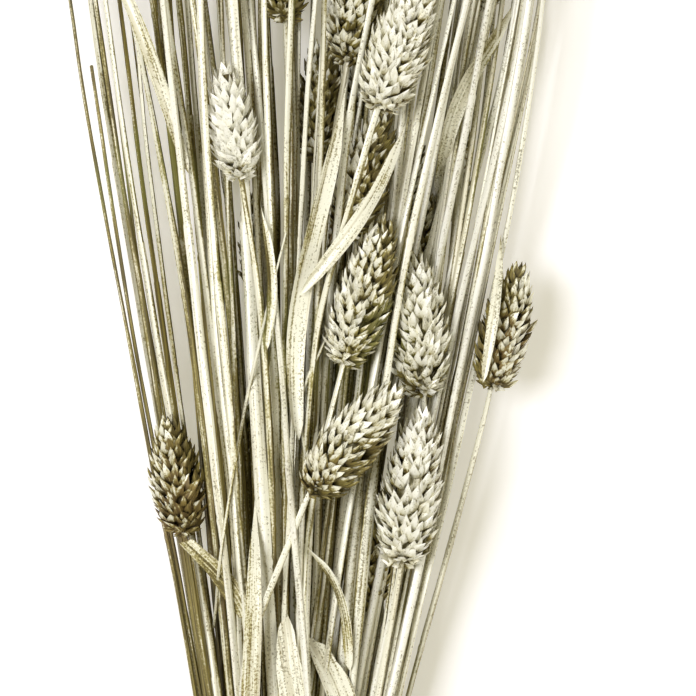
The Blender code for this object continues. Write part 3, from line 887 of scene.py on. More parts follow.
# Straws that lie on top of the others, from the left to the right: how far along the bundle from the tie's
# middle and how far right of it some points of each are, then its radius, all in millimetres, how well the
# paint covers it, whether it has a seed head, and whether it lies over the leaf blades too
FRONT_STRAWS = (
    (((60, -13.0), (100, -19.8), (129, -23.5), (146, -27.8), (230, -42.0), (340, -56.0)),
     0.90, 0.85, True, False),
    (((101, -13.5), (232, -27.8), (340, -39.5)), 1.15, 1.00, True, True),
    (((100, -10.0), (164, -16.3), (183, -19.0), (216, -21.5), (274, -23.3), (340, -25.0)),
     0.75, 0.85, True, False),
    (((101, -4.8), (226, -12.0), (340, -18.5)), 1.45, 0.95, True, True),
    (((100, -3.0), (216, 1.5), (274, 5.5), (340, 10.0)), 0.80, 0.90, True, False),
    (((100, 0.0), (182, 4.0), (194, 5.3), (216, 7.8), (249, 12.5), (340, 24.0)), 0.85, 1.05, True, False),
    (((100, 2.5), (186, 6.0), (203, 8.3), (216, 11.3), (249, 17.0), (340, 31.0)), 0.60, 0.90, False, False),
    (((60, 6.5), (100, 4.0), (274, -11.0), (340, -16.7)), 1.00, 1.08, True, True),
    (((100, 6.0), (170, 17.5), (219, 27.5), (272, 39.8), (340, 54.0)), 0.80, 0.85, True, False),
    (((80, 5.0), (126, 12.0), (163, 20.5), (250, 38.0), (340, 56.0)), 0.95, 1.00, True, False),
    (((100, 15.0), (169, 29.0), (216, 38.0), (274, 49.3), (340, 60.0)), 1.10, 1.15, True, False),
    (((100, 16.5), (150, 27.0), (216, 41.3), (242, 50.0), (263, 54.8), (340, 65.0)),
     0.90, 1.10, False, False),
    (((100, 19.5), (166, 34.0), (216, 45.5), (250, 54.8), (320, 65.0)), 1.10, 1.15, False, False),
    (((60, 13.0), (100, 24.8), (119, 29.0), (245, 54.5), (320, 65.0)), 1.00, 1.15, True, False),
    (((60, 15.0), (101, 27.5), (154, 38.5), (214, 53.3), (260, 61.0), (320, 66.0)), 0.80, 0.85, False, False),
)


class ThinStalks:
    """Middle lines, radii and seed heads of the thin stalks that fill the bundle, the front straws first.
    Each runs from a free place in the tie to its share of the fan, and all are then moved apart from the
    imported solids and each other."""

    def __init__(self, sizes, seed=23):
        rng = np.random.default_rng(seed)
        self.front = len(FRONT_STRAWS)
        gaps, side, level = self.deal(tie_gaps(sizes.thin_count, sizes))
        self.at_tie, gaps = gaps[:, 2], gaps[:, :2]
        self.draw(rng, side, level, sizes.thin_radius)
        near_tie = [-0.150, -0.11, -0.06, -0.015, 0.015]
        self.knots = TIE[1] + np.concatenate([near_tie, np.arange(0.04, 0.42, 0.022)])
        self.probe = np.arange(self.cut_y.min(), TIE[1] + 0.42, 5 * MM)
        self.read = np.array([np.interp(self.probe, self.knots, row) for row in np.eye(len(self.knots))]).T
        self.x, self.z = self.first(gaps, side, level)
        self.settle()

    def deal(self, gaps):
        """A free place in the tie for each thin stalk and where it is wanted in the fan: side runs from -1
        at its left edge to 1 at its right, and level from -1 at its bottom to 1 at its top. The front straws
        come first and get the highest places."""
        gaps = gaps[np.argsort(-gaps[:, 1])]
        highest, gaps = gaps[: self.front], gaps[self.front :]
        highest = highest[np.argsort(highest[:, 0])]
        index = np.arange(len(gaps))
        spread = np.sqrt((index + 0.5) / len(gaps)) * 0.98
        angle = index * GOLDEN_ANGLE
        wanted = np.stack([spread * np.cos(angle), spread * np.sin(angle)], axis=1)
        # Across the fan they stand evenly as seen from above; the front layer is left to the thick stalks.
        side = wanted[:, 0]
        side = (np.arcsin(side) + side * np.sqrt(1 - side**2)) * 2 / math.pi
        side = side + 0.24 * (1 - side**2)
        level = wanted[:, 1] * np.where(wanted[:, 1] > 0, 0.55, 1.0) - 0.30 * np.abs(side) ** 3
        side = np.concatenate([np.zeros(self.front), side])
        level = np.concatenate([np.full(self.front, 0.5), level])
        return np.concatenate([highest, dealt(gaps, wanted)]), side, level

    def draw(self, rng, side, level, thin_radius):
        """Draws which thin stalks have a seed head, how high up it starts, and how long and thick all is."""
        count = len(side)
        # The bundle is thinner left of its middle, where half of the straws have broken off low
        low = (side > -0.60) & (side < 0.15) & (rng.uniform(0, 1, count) < 0.55)
        self.headed = ~low & (rng.uniform(0, 1, count) < 0.95)
        # Heights of the heads' bases, most of them in the fan's upper part, the outermost no higher than fits
        turn = (rng.permutation(count) + rng.uniform(0, 1, count)) / count
        top = np.interp(np.abs(side), [0.6, 0.9], [0.372, 0.296])
        self.base_y = TIE[1] + 0.281 + turn * (top - 0.281)
        deep = (level < -0.35) & (np.abs(side) < 0.7) & (rng.uniform(0, 1, count) < 0.4)
        self.base_y = np.where(deep, TIE[1] + rng.uniform(0.15, 0.28, count), self.base_y)
        self.base_y = np.where(self.headed, self.base_y, TIE[1] + rng.uniform(0.25, 0.34, count))
        self.base_y = np.where(low, TIE[1] + rng.uniform(0.13, 0.21, count), self.base_y)
        self.head_length = rng.uniform(20, 29, count) * MM
        self.head_radius = rng.uniform(3.4, 4.9, count) * MM
        thickness = np.interp(rng.uniform(0, 1, count), [0, 0.3, 0.7, 1], [0.6, 0.95, 1.3, 1.9])
        self.radius = thin_radius * thickness
        self.cut_y = TIE[1] - 0.138 + rng.uniform(-6, 16, count) * MM
        for n, (_, radius, _, headed, _) in enumerate(FRONT_STRAWS):
            self.radius[n], self.headed[n] = radius * MM, headed
        self.base_y[: self.front] = TIE[1] + np.interp(rng.uniform(0, 1, self.front), [0, 1], [0.284, 0.300])

    def bounds(self, heights):
        """The fan's middle and half size along X and Z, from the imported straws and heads."""
        reach = []
        for stalk in packed_stalks():
            line = np.concatenate([stalk.path, [stalk.tip]])
            there = (heights >= line[0, 1] - 2 * MM) & (heights <= line[-1, 1] + 2 * MM)
            reach.append(np.where(there, np.interp(heights, line[:, 1], line[:, 0]), np.nan))
            reach.append(np.where(there, np.interp(heights, line[:, 1], line[:, 2]), np.nan))
        x, z = np.array(reach[::2]), np.array(reach[1::2])
        low = np.stack([np.nanmin(x, 0), np.nanmin(z, 0)])
        high = np.stack([np.nanmax(x, 0), np.nanmax(z, 0)])
        return (low + high) / 2, (high - low) / 2

    def first(self, gaps, side, level):
        """Paths before settling: each runs from the tie's gap to its head's base by a mix of a straight line
        and an eased one, and goes on straight above it. Below the tie they flare as the thick straws do."""
        middle, half = self.bounds(np.clip(self.base_y, TIE[1], TIE[1] + 0.36))
        grip = TIE[1] + 15 * MM
        rise = self.base_y - grip
        half_width = np.minimum(8 * MM + FAN_SLOPE * rise, FAN_WIDEST)
        base_x = TIE[0] + 3 * MM + side * half_width
        base_z = middle[1] + 0.84 * level * half[1]
        y = self.knots[:, None]
        share = np.clip((y - grip) / rise, 0, 1)
        blend = 0.80 * share + 0.20 * share * share * (3 - 2 * share)
        blend = blend + 0.80 * np.clip(y - self.base_y, 0, None) / rise
        x = gaps[:, 0] + (base_x - gaps[:, 0]) * blend
        z = gaps[:, 1] + (base_z - gaps[:, 1]) * blend
        low, low_half = self.bounds(np.clip(self.knots, TIE[1] - 0.12, TIE[1]))
        own = (gaps - TIE[[0, 2]]) / (10.5 * MM)
        below = y < TIE[1] - 16 * MM
        x = np.where(below, low[0][:, None] + own[:, 0] * low_half[0][:, None], x)
        z = np.where(below, low[1][:, None] + own[:, 1] * low_half[1][:, None], z)
        # The front straws follow their own points, and rise from the tie to the top of the bundle.
        above = self.knots > grip - 1 * MM
        middle, half = self.bounds(np.clip(self.knots[above], TIE[1], TIE[1] + 0.30))
        rise = np.clip((self.knots[above] - grip) / (70 * MM), 0, 1)
        rise = rise * rise * (3 - 2 * rise)
        for n, (points, *_) in enumerate(FRONT_STRAWS):
            along, right = np.array(points).T * MM
            along, right = np.append(grip - TIE[1], along), np.append(gaps[n, 0] - TIE[0], right)
            x[above, n] = TIE[0] + np.interp(self.knots[above] - TIE[1], along, right)
            z[above, n] = gaps[n, 1] + rise * (middle[1] + half[1] - gaps[n, 1])
        return x, z

    def sizes_at_probes(self):
        """Half size of each thin stalk at each probe height: its straw, and its head where it has one."""
        y = self.probe[:, None]
        share = (y - self.base_y) / self.head_length
        head = np.interp(share, [-0.02, 0, 0.25, 0.5, 0.85, 1.0, 1.02], [0, 0.5, 1, 1, 0.6, 0.3, 0])
        half = np.maximum(self.radius, np.where(self.headed, head * self.head_radius, 0))
        end = self.base_y + np.where(self.headed, self.head_length, 0)
        there = (y >= self.cut_y - 3 * MM) & (y <= end + 3 * MM)
        return half, there

    def part_stalks(self, x, z, half, there):
        """The push on each section of a thin stalk that shares space with another one's, along the line
        between the two, and which sections get one. Each of the two moves half of the way."""
        dx, dz = x[:, :, None] - x[:, None, :], z[:, :, None] - z[:, None, :]
        far = np.sqrt(dx**2 + dz**2) / (half[:, :, None] + half[:, None, :] + CLEARANCE) + 1e-9
        hit = (far < 1) & there[:, :, None] & there[:, None, :] & ~np.eye(x.shape[1], dtype=bool)
        way = np.where(hit, (1 / far - 1) * 0.5, 0)
        return (way * dx).sum(axis=2), (way * dz).sum(axis=2), hit.any(axis=2)

    def clear_solids(self, x, z, half, there, solids, under, push_x, push_z):
        """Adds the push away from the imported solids, which stay where they are and are taken as ovals, and
        the push down below those that a stalk has to lie under. Returns which sections got one."""
        solid_x, solid_z, solid_wide, solid_high = solids
        dx, dz = x[:, :, None] - solid_x[:, None, :], z[:, :, None] - solid_z[:, None, :]
        wide = half[:, :, None] + solid_wide[:, None, :] + CLEARANCE
        high = half[:, :, None] + solid_high[:, None, :] + CLEARANCE
        far = np.sqrt((dx / wide) ** 2 + (dz / high) ** 2) + 1e-9
        lower = under & (np.abs(dx) < wide) & there[:, :, None]
        too_high = np.where(lower, dz + high * np.sqrt(np.clip(1 - (dx / wide) ** 2, 0, 1)), 0)
        hit = (far < 1) & there[:, :, None] & np.isfinite(far) & ~lower
        way = np.where(hit, 1 / far - 1, 0)
        push_x += np.nansum(np.where(hit, way * dx, 0), axis=2)
        push_z += np.nansum(np.where(hit, way * dz, 0), axis=2)
        push_z -= 0.25 * np.clip(too_high, 0, None).max(axis=2)
        return hit.any(axis=2) | (too_high > 0).any(axis=2)

    def keep_inside(self, x, z, half, there, push_x, push_z):
        """Adds the push back over the floor and inside the solids' box. Returns which sections got one."""
        low = np.clip(half + 0.1 * MM - z - push_z, 0, None) * there
        high = np.clip(z + push_z + half - (CAD_BOX[1][2] - 0.2 * MM), 0, None) * there
        push_z += low - high
        right = np.clip(x + push_x + half - CAD_BOX[1][0], 0, None) * there
        left = np.clip(CAD_BOX[0][0] - (x + push_x - half), 0, None) * there
        push_x += left - right
        return (low > 0) | (high > 0) | (right > 0) | (left > 0)

    def settle(self, rounds=170):
        """Every round, two sections that share space move apart along the line between them, a packed one
        staying where it is and a front straw moving only up or down, onto what it lies on. A section over a
        seed head or leaf of the bundle's upper layer moves down until it is under it. The paths then relax a
        little towards their first shape's smoothness."""
        half, there = self.sizes_at_probes()
        solids = self.solids()
        first_x, first_z = self.x.copy(), self.z.copy()
        held = np.abs(self.knots - TIE[1]) < 0.02
        blade = np.arange(len(STALKS + BLADES)) >= len(STALKS)
        upper = (solids[1] - solids[3] > 9 * MM) & (blade | self.seen_above() & (solids[3] > 3 * MM))
        count = self.x.shape[1]
        front = np.arange(count) < self.front
        over = np.append([row[-1] for row in FRONT_STRAWS], np.zeros(count - self.front, bool))
        under = upper[:, None, :] & ~(over[:, None] & blade)
        sinks = np.ix_(self.knots > TIE[1] + 0.02, front)
        for _ in range(rounds):
            x, z = self.read @ self.x, self.read @ self.z
            push_x, push_z, touched = self.part_stalks(x, z, half, there)
            touched |= self.clear_solids(x, z, half, there, solids, under, push_x, push_z)
            touched |= self.keep_inside(x, z, half, there, push_x, push_z)
            push_x[:, front] = 0
            self.z[sinks] -= 0.06 * MM
            weight = self.read.T @ touched + 0.2
            self.x += 0.9 * (self.read.T @ push_x) / weight
            self.z += 0.9 * (self.read.T @ push_z) / weight
            for now, first in ((self.x, first_x), (self.z, first_z)):
                moved = now - first
                moved[1:-1] += 0.28 * ((moved[:-2] + moved[2:]) / 2 - moved[1:-1])
                now[:] = first + moved * 0.998
            self.x[held], self.z[held] = first_x[held], first_z[held]

    def seen_above(self):
        """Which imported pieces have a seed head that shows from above, lower down than the upper heads."""
        tips = np.array([stalk.tip for stalk in packed_stalks()])
        seen = tips[:, 1] < TIE[1] + 0.310
        return np.concatenate([seen, np.zeros(len(BLADES), bool)])

    def solids(self):
        """Middle and half size of every packed stalk and leaf at the probe heights."""
        rows = []
        for node in STALKS + BLADES:
            low, high = (corner[1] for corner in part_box(node))
            there = (self.probe > low + 0.1 * MM) & (self.probe < high - 0.1 * MM)
            middle = np.full((len(self.probe), 2), np.nan)
            half = np.full((len(self.probe), 2), np.nan)
            middle[there], half[there] = crossings(node, self.probe[there])
            rows.append(np.concatenate([middle, half], axis=1))
        return np.array(rows).transpose(2, 1, 0)

    def stalk(self, n):
        """The nth thin stalk in the same form as a packed one. A bare one has no head."""
        fine = np.arange(self.cut_y[n], self.base_y[n] + 45 * MM, 2.5 * MM)
        x, z = (np.interp(fine, self.knots, rows[:, n]) for rows in (self.x, self.z))
        line = smoothed(np.column_stack([x, fine, z]), 9)
        straw = line[line[:, 1] <= self.base_y[n]]
        base = straw[-1]
        way = unit(at([self.base_y[n] + self.head_length[n]], line[:, 1], line)[0] - base)
        tip = base + way * self.head_length[n]
        share = np.clip((straw[:, 1] - TIE[1]) / (straw[-1, 1] - TIE[1]), 0, 1)
        squeeze = np.clip((np.abs(straw[:, 1] - TIE[1]) - 12 * MM) / (40 * MM), 0, 1)
        radius = self.at_tie[n] + (self.radius[n] - self.at_tie[n]) * squeeze
        shares = np.array([0.0, 0.08, 0.25, 0.5, 0.75, 0.92, 1.0])
        reach = np.array([0.45, 0.80, 1.0, 0.98, 0.76, 0.45, 0.22]) * self.head_radius[n]
        return Stalk(straw, radius * (1 - 0.30 * share), base, tip, shares, reach)


@functools.cache
def thin_stalks():
    return ThinStalks(bpy.context.scene.canary_sizes)


# Broken bits of straw that lie loose on the others: how far along the bundle from the tie's middle and how
# far right of it some points of each are, and its radius, all in millimetres
LOOSE_STRAWS = (
    (((116, -20.5), (140, -17.0), (157, -14.3), (173, -11.8), (184, -9.0), (199, -5.8), (216, -1.6)), 0.42),
    (((152, 4.0), (166, 2.2), (173, 1.4), (177, 2.0), (182, 5.0), (188, 8.0), (196, 10.5)), 0.34),
)


def straw_tops(right, along, own):
    """How high the middle of a straw of radius own lies when it rests on the straws at given places: over
    each straw it rolls on a circle whose radius is the sum of both radii, and the highest circle counts."""
    thin = thin_stalks()
    found = np.full(len(along), own)
    for stalk in [*packed_stalks(), *map(thin.stalk, range(thin.x.shape[1]))]:
        x, y, z = stalk.path.T
        reach = np.interp(along, y, stalk.radius) + own
        beside = (right - np.interp(along, y, x)) / reach
        top = np.interp(along, y, z) + reach * np.sqrt(np.clip(1 - beside**2, 0, 1))
        found = np.where((np.abs(beside) < 1) & (along < y[-1]), np.maximum(found, top), found)
    return found


def make_stalk(name, stalk, rng, sizes, share, sides, husk, cover, head_look, tone, headed=True):
    """One whole stalk: straw, core of the head and spikelets. share is the straw's thickness as a share of
    the stalk's, and cover and tone are the straw's."""
    surface = Surface()
    core = None
    path, radius = stalk.path, stalk.radius * share
    if headed:
        steps = np.linspace(0, 1, 10)
        line = stalk.base + steps[:, None] * (stalk.tip - stalk.base) * 0.96
        greatest = stalk.reach.max()
        inner = np.interp(steps, stalk.shares, stalk.reach) * 0.46
        inner = np.minimum(inner, np.interp(steps, [0, 0.11, 0.22, 0.35], [0.12, 0.16, 0.30, 0.5]) * greatest)
        inner[0] = radius[-1]
        core = (line, inner)
        path = np.concatenate([path, [stalk.base]])
        radius = np.concatenate([radius, radius[-1:]])
    add_straw(surface, path, radius, core, rng, cover, tone, sizes.knot_swell, sizes.sheath_swell, sides)
    if headed:
        small = min(1.0, greatest / (7 * MM))
        add_spikelets(
            surface, stalk, rng, sizes.spikelet_length * (0.45 + 0.55 * small),
            sizes.spikelet_width * (0.45 + 0.55 * small), sizes.spikelet_room * (0.65 + 0.35 * small),
            husk, head_look, tone)
    return surface.make(name, straw_finish())


# Where the spray came from on the heads that were sprayed from the left, and how the heads of some stalks
# look. Of the other stalks' heads, only the cover is drawn at random.
FROM_LEFT = (-0.50, 0.00, 0.85)
HEAD_LOOKS = {
    "stalk_01": HeadLook(1.22, (0.35, 0.25, 0.90), 0.85, -0.15),
    "stalk_02": HeadLook(1.45, (0.10, 0.00, 1.00), 0.70, 0.10),
    "stalk_03": HeadLook(0.90, (-0.80, -0.15, 0.60), 0.90, -0.35),
    "stalk_04": HeadLook(0.94, (-0.55, 0.45, 0.70), 0.90, 0.95),
    "stalk_05": HeadLook(2.15, (-0.30, 0.00, 0.95), 0.42),
    "stalk_06": HeadLook(1.32, (-0.20, -0.20, 0.95), 0.75),
    "stalk_07": HeadLook(0.70, FROM_LEFT),
    "stalk_08": HeadLook(0.42, FROM_LEFT),
    "stalk_10": HeadLook(0.46, FROM_LEFT),
    "stalk_11": HeadLook(0.50, (0.50, 0.00, 0.85)),
    "stalk_12": HeadLook(0.42, FROM_LEFT),
    "stalk_13": HeadLook(0.48, FROM_LEFT),
    "stalk_14": HeadLook(0.36, FROM_LEFT),
    "stalk_15": HeadLook(0.42, FROM_LEFT),
}


# ---------------------------------------------------------------- operators


def put(made, node=None):
    """Adds a finished piece to the bundle, in the place of a packed one where node names it."""
    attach(made, "root")
    if node:
        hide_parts(node)


# Half the floor's side, the point that the camera and lamps are aimed at, as seen from the spot on the floor
# under the tie's middle, and how high above that point the camera is
FLOOR_REACH = 4.0
AIM = np.array([13.5, 186.75, 25.0]) * MM
CAMERA_HEIGHT = 0.725


class CANARY_OT_stage(bpy.types.Operator):
    """Set up the pale floor, the soft studio light and the camera that looks straight down on the bundle"""

    bl_idname = "canary.stage"
    bl_label = "Stage"

    def execute(self, context):
        scene = context.scene
        floor = bpy.data.meshes.new("floor")
        corners = [(-FLOOR_REACH, -FLOOR_REACH, 0), (FLOOR_REACH, -FLOOR_REACH, 0)]
        corners += [(FLOOR_REACH, FLOOR_REACH, 0), (-FLOOR_REACH, FLOOR_REACH, 0)]
        floor.from_pydata(corners, [], [(0, 1, 2, 3)])
        floor.materials.append(floor_finish())
        made = bpy.data.objects.new("floor", floor)
        scene.collection.objects.link(made)

        # The camera looks straight down, and its lens takes in 174 mm of the bundle.
        aim = TIE * [1, 1, 0] + AIM
        lens = bpy.data.cameras.new("camera")
        lens.lens = 150.0
        lens.sensor_width = 36.0
        lens.clip_end = 20.0
        camera = bpy.data.objects.new("camera", lens)
        camera.location = aim + CAMERA_HEIGHT * UP
        scene.collection.objects.link(camera)
        scene.camera = camera

        self.soft_box(scene, "key", aim, way=(-0.42, 0.06, 0.905), distance=1.5, size=0.60, power=17.5)
        self.soft_box(scene, "fill", aim, way=(0.70, -0.15, 0.70), distance=1.6, size=1.2, power=7.0)
        scene.world = studio_world()
        scene.view_settings.view_transform = "Standard"
        return {"FINISHED"}

    def soft_box(self, scene, name, aim, way, distance, size, power):
        """A square lamp that shines on aim from a direction."""
        light = bpy.data.lights.new(name, "AREA")
        light.size = size
        light.energy = power
        light.color = (0.97, 0.975, 1.05)
        lamp = bpy.data.objects.new(name, light)
        way = unit(np.array(way))
        lamp.location = aim + way * distance
        lamp.rotation_mode = "QUATERNION"
        lamp.rotation_quaternion = Vector(way).to_track_quat("Z", "Y")
        lamp.visible_camera = False
        scene.collection.objects.link(lamp)


class CANARY_OT_stalks(bpy.types.Operator):
    """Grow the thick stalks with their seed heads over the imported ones"""

    bl_idname = "canary.stalks"
    bl_label = "Stalks"

    def execute(self, context):
        sizes = context.scene.canary_sizes
        for n, node in enumerate(STALKS):
            rng = np.random.default_rng([7, n])
            stalk = packed_stalk(node)
            cover = rng.choice([0.30, 0.48, 0.62, 0.78], p=[0.22, 0.28, 0.28, 0.22])
            head_look = HEAD_LOOKS.get(node, HeadLook(rng.uniform(0.72, 1.15)))
            tone = rng.uniform(0.88, 1.0)
            name = node.replace("stalk", "grown_stalk")
            made = make_stalk(name, stalk, rng, sizes, sizes.straw_share, 9, HUSK, cover, head_look, tone)
            put(made, node)
        return {"FINISHED"}


class CANARY_OT_thin_stalks(bpy.types.Operator):
    """Grow the thin stalks that fill the bundle between the thick ones"""

    bl_idname = "canary.thin_stalks"
    bl_label = "Thin Stalks"

    def execute(self, context):
        sizes = context.scene.canary_sizes
        thin = thin_stalks()
        for n in range(thin.x.shape[1]):
            rng = np.random.default_rng([31, n])
            cover = rng.choice([0.28, 0.45, 0.60, 0.75], p=[0.30, 0.30, 0.22, 0.18])
            tone, sides = rng.uniform(0.85, 1.0), 6
            if n < thin.front:
                cover, tone, sides = FRONT_STRAWS[n][2], 1.0, 9
            made = make_stalk(
                f"thin_stalk_{n + 1:02d}", thin.stalk(n), rng, sizes, 1.0, sides, PLAIN_HUSK, cover,
                HeadLook(rng.uniform(0.55, 1.00)), tone, bool(thin.headed[n]))
            put(made)
        return {"FINISHED"}


class CANARY_OT_loose_straws(bpy.types.Operator):
    """Lay a few broken bits of straw over the others"""

    bl_idname = "canary.loose_straws"
    bl_label = "Loose Straws"

    def execute(self, context):
        sizes = context.scene.canary_sizes
        for n, (points, radius) in enumerate(LOOSE_STRAWS):
            rng = np.random.default_rng([97, n])
            along, right = np.array(points).T * MM
            fine = np.arange(along[0], along[-1], 1.5 * MM)
            line = np.column_stack([TIE[0] + np.interp(fine, along, right), TIE[1] + fine])
            tops = straw_tops(line[:, 0], line[:, 1], radius * MM)
            # Between two straws it doesn't sag: its height is the greatest within 6 mm, then smoothed.
            near = np.abs(fine[:, None] - fine) < 6 * MM
            line = smoothed(np.insert(line, 2, np.where(near, tops, 0).max(axis=1), axis=1), 3)
            surface = Surface()
            slim = radius * MM * np.interp(np.linspace(0, 1, len(line)), [0, 0.7, 1], [1, 1, 0.6])
            add_straw(surface, line, slim, None, rng, 0.75, 1.0, sizes.knot_swell, 0, 6)
            made = surface.make(f"loose_straw_{n + 1:02d}", straw_finish())
            put(made)
        return {"FINISHED"}


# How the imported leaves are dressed: span of the arc across the leaf in degrees, a twist over its length in
# degrees, how well the paint covers it, how wide it still is at its end and how oblique that end is
LEAF_LOOKS = (
    (60, 25, 0.86, 0.15, 0), (70, -30, 0.82, 0.15, 0), (130, 30, 0.66, 0.15, 0), (55, 20, 0.76, 0.15, 0),
    (80, -15, 0.80, 0.15, 0), (26, 10, 0.44, 0.90, 0.6), (40, 8, 0.80, 0.30, 0), (24, -10, 0.90, 0.55, -0.9),
    (22, 12, 0.80, 0.85, 1.5), (60, 50, 0.74, 0.15, 0), (75, -20, 0.66, 0.15, 0), (70, 25, 0.70, 0.15, 0),
)


class CANARY_OT_leaves(bpy.types.Operator):
    """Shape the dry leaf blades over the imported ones"""

    bl_idname = "canary.leaves"
    bl_label = "Leaf Blades"

    def execute(self, context):
        sizes = context.scene.canary_sizes
        for n, (node, (span, twist, cover, end, slant)) in enumerate(zip(BLADES, LEAF_LOOKS)):
            rng = np.random.default_rng([53, n])
            low, high = (corner[1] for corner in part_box(node))
            share = 1 - (1 - np.linspace(0, 1, 40)) ** 1.6
            heights = low + 0.6 * MM + share * (high - low - 1.2 * MM)
            middle, half = crossings(node, heights)
            path = smoothed(np.column_stack([middle[:, 0], heights, middle[:, 1]]), 3)
            if end > 0.5:
                # A leaf that has torn off goes on straight to its blunt end.
                torn = share > 0.8
                slope = (path[~torn][-1] - path[~torn][-6]) / (share[~torn][-1] - share[~torn][-6])
                path[torn] = path[~torn][-1] + (share[torn] - share[~torn][-1])[:, None] * slope
            way = unit(np.gradient(path, axis=0))
            wide = np.minimum(half[:, 0] * np.abs(way[:, 1]), np.median(half[:, 0] * np.abs(way[:, 1])) * 1.5)
            wide = smoothed(wide[:, None], 2)[:, 0]
            wide = np.maximum(wide, 0.9 * np.median(wide) * (end > 0.5))
            wide = wide * np.interp(share, [0, 0.05, 0.80 + 0.15 * end, 1], [0.75, 1, 1, end])
            path[:, 2] += 0.25 * MM + 0.4 * MM * np.sin(share * math.pi) + 1.2 * MM * share**4
            turn = math.radians(twist) * np.sin((share - 0.1) * math.pi)
            sideways = unit(np.cross(way, UP))
            facing = np.cos(turn)[:, None] * UP + np.sin(turn)[:, None] * sideways
            arc = np.radians(span) * (0.5 + 0.5 * np.interp(share, [0, 0.3, 1], [1.6, 1.0, 0.9]))
            surface = Surface()
            tone = rng.uniform(0.9, 1.0)
            around = 11 if slant else 7
            add_blade(surface, path, wide, arc, facing, sizes.leaf_thickness, rng, cover, tone, around, slant)
            made = surface.make(node.replace("leaf_blade", "dry_leaf"), leaf_finish(), 60)
            put(made, node)
        return {"FINISHED"}


class CANARY_OT_sheaths(bpy.types.Operator):
    """Wrap leaf sheaths round some straws, open at their top where the leaf has broken off"""

    bl_idname = "canary.sheaths"
    bl_label = "Leaf Sheaths"

    def execute(self, context):
        sizes = context.scene.canary_sizes
        rng = np.random.default_rng(67)
        # The upper straws carry the broad sheaths, and any straw a close one.
        high = [height_share(stalk.path[[120]])[0] for stalk in packed_stalks()]
        upper = [STALKS[n] for n in np.argsort(high)[::-1][: sizes.broad_sheaths]]
        nodes = upper + [STALKS[int(n)] for n in rng.integers(len(STALKS), size=sizes.close_sheaths)]
        for n, node in enumerate(nodes):
            stalk = packed_stalk(node)
            along = lengths(stalk.path)
            start = rng.uniform(0.16, 0.66) * along[-1]
            length = min(rng.uniform(30, 85) * MM, along[-1] - start - 8 * MM)
            steps = np.linspace(0, 1, 26)
            axis = at(start + steps * length, along, stalk.path)
            radius = np.interp(start + steps * length, along, stalk.radius)
            shape = self.broad if n < len(upper) else self.close
            mid, wide, arc, open_way = shape(axis, radius, steps, rng)
            surface = Surface()
            cover, tone = rng.uniform(0.55, 0.9), rng.uniform(0.9, 1.0)
            add_blade(surface, mid, wide, arc, open_way, sizes.leaf_thickness, rng, cover, tone)
            made = surface.make(f"leaf_sheath_{n + 1:02d}", leaf_finish(), 60)
            put(made)
        return {"FINISHED"}

    def close(self, axis, radius, steps, rng):
        """A sheath that wraps its straw: its middle line runs along the straw's underside, its open side
        looks up, and near its end it opens and narrows to a point."""
        _, sideways, upward = frames(axis)
        angle = rng.uniform(-0.9, 0.9) + 0.5 * steps * rng.uniform(-1, 1)
        open_way = -np.sin(angle)[:, None] * sideways + np.cos(angle)[:, None] * upward
        radius = radius * 1.10
        flare = np.clip((steps - 0.72) / 0.28, 0, 1)
        span = np.radians(250) * (1 - 0.72 * flare**1.5)
        wide = radius * span / 2 * (1 + 0.35 * flare)
        wide = wide * np.interp(steps, [0, 0.04, 0.85, 1], [0.9, 1, 1, 0.12])
        arc = np.minimum(2 * wide / (radius * (1 + 1.6 * flare)), span)
        return axis - open_way * radius[:, None], wide, arc, open_way

    def broad(self, axis, radius, steps, rng):
        """A loose sheath that lies over its straw like a half pipe: its middle line runs along the straw's
        upper side and its open side looks down. It widens from its knot and frays to a point."""
        _, sideways, upward = frames(axis)
        angle = rng.uniform(-0.4, 0.4) + 0.3 * steps * rng.uniform(-1, 1)
        open_way = -np.sin(angle)[:, None] * sideways - np.cos(angle)[:, None] * upward
        greatest = rng.uniform(1.9, 2.8) * MM
        wide = greatest * np.interp(steps, [0, 0.06, 0.30, 0.75, 1], [0.62, 0.70, 1.0, 0.85, 0.10])
        arc = np.radians(np.interp(steps, [0, 0.3, 0.8, 1], [190, 140, 100, 50]))
        return axis - open_way * (radius + 0.15 * MM)[:, None], wide, arc, open_way


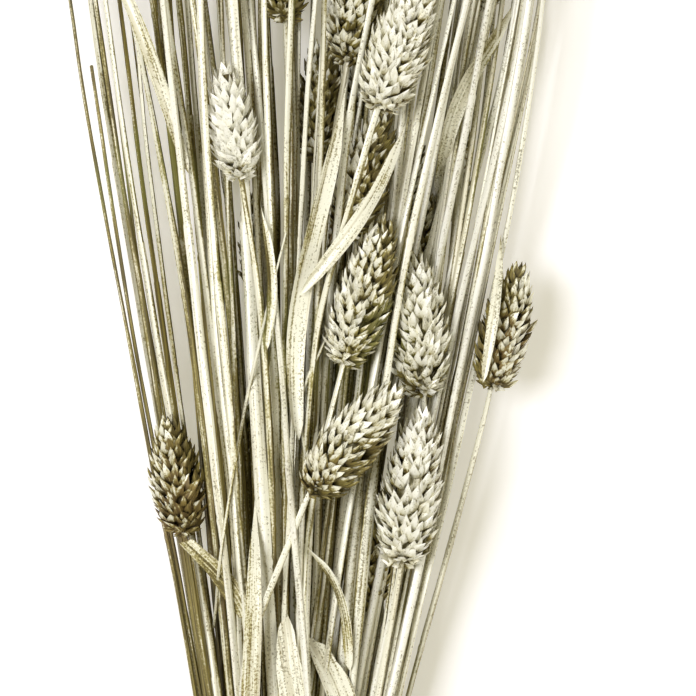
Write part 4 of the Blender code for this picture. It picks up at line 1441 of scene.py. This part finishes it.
class CANARY_OT_twine(bpy.types.Operator):
    """Wind the three-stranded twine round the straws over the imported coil"""

    bl_idname = "canary.twine"
    bl_label = "Twine"

    def execute(self, context):
        sizes = context.scene.canary_sizes
        thick = sizes.twine_radius
        reach = (TIE_HIGH[[0, 2]] - TIE_LOW[[0, 2]]) / 2 - thick
        pitch = (TIE_HIGH[1] - TIE_LOW[1] - 2 * thick) / sizes.twine_turns
        rows = sizes.twine_turns * 80
        turn = np.linspace(0, sizes.twine_turns, rows)
        angle = TURN * turn
        path = np.stack([
            TIE[0] + reach[0] * np.cos(angle),
            TIE[1] + pitch * (turn - sizes.twine_turns / 2),
            TIE[2] + reach[1] * np.sin(angle),
        ], axis=1)
        along = unit(np.gradient(path, axis=0))
        outward = unit(path - np.array([TIE[0], 0, TIE[2]]) * [1, 0, 1] - path * [0, 1, 0])
        outward = square_to(along, outward)
        beside = np.cross(along, outward)
        places = lengths(path)
        strand = 0.52 * thick
        lay = 6.5 * MM
        surface = Surface()
        rng = np.random.default_rng(3)
        for ply in range(3):
            phase = TURN * (places / lay + ply / 3)
            to_ply = np.cos(phase)[:, None] * outward + np.sin(phase)[:, None] * beside
            middle = path + (thick - strand) * to_ply
            size = strand * (1 + 0.06 * ripple(rng, places, 3 * MM))
            way = unit(np.gradient(middle, axis=0))
            up = square_to(way, outward)
            side = np.cross(up, way)
            around = np.arange(8) * TURN / 8
            out = spokes(around, side, up)
            shape = middle[:, None] + size[:, None, None] * out
            ends = middle[[0, -1]] + way[[0, -1]] * np.array([[-0.4], [0.4]]) * strand
            spin = around / TURN * strand * 6 + places[:, None] * 0.15
            grain = np.stack(np.broadcast_arrays(spin, places[:, None], ply * 0.3), axis=-1)
            # Painted shade: each strand darkens where it looks inward, between the strands and against the
            # straws.
            tone = 0.62 + 0.38 * np.clip((out * outward[:, None]).sum(axis=2), -0.6, 1)
            surface.spindle(ends[0], shape, ends[1], tone=tone, cover=np.ones((1, 1)), grain=grain)
        made = surface.make("wound_twine", twine_finish(), 70)
        put(made, "twine")
        return {"FINISHED"}


class CANARY_PT_bundle(bpy.types.Panel):
    """Lists the bundle's parts, sizes and colours"""

    bl_label = "Canary Grass"
    bl_idname = "CANARY_PT_bundle"
    bl_space_type = "VIEW_3D"
    bl_region_type = "UI"
    bl_category = "Canary Grass"

    def draw(self, context):
        column = self.layout.column(align=True)
        for operator in OPERATORS:
            column.operator(operator.bl_idname)
        for settings in (context.scene.canary_sizes, context.scene.canary_colours):
            box = self.layout.box()
            for key in settings.bl_rna.properties.keys():
                if key not in ("rna_type", "name"):
                    box.prop(settings, key)


OPERATORS = (
    CANARY_OT_stage,
    CANARY_OT_stalks,
    CANARY_OT_thin_stalks,
    CANARY_OT_loose_straws,
    CANARY_OT_leaves,
    CANARY_OT_sheaths,
    CANARY_OT_twine,
)
CLASSES = (CanaryGrassSizes, CanaryGrassColours, *OPERATORS, CANARY_PT_bundle)


def register():
    for each in CLASSES:
        bpy.utils.register_class(each)
    bpy.types.Scene.canary_sizes = bpy.props.PointerProperty(type=CanaryGrassSizes)
    bpy.types.Scene.canary_colours = bpy.props.PointerProperty(type=CanaryGrassColours)


def unregister():
    del bpy.types.Scene.canary_colours
    del bpy.types.Scene.canary_sizes
    for each in reversed(CLASSES):
        bpy.utils.unregister_class(each)


def main():
    register()
    bpy.ops.canary.stage()
    bpy.ops.canary.stalks()
    bpy.ops.canary.thin_stalks()
    bpy.ops.canary.loose_straws()
    bpy.ops.canary.leaves()
    bpy.ops.canary.sheaths()
    bpy.ops.canary.twine()
    bpy.context.view_layer.update()


if __name__ == "__main__":
    main()
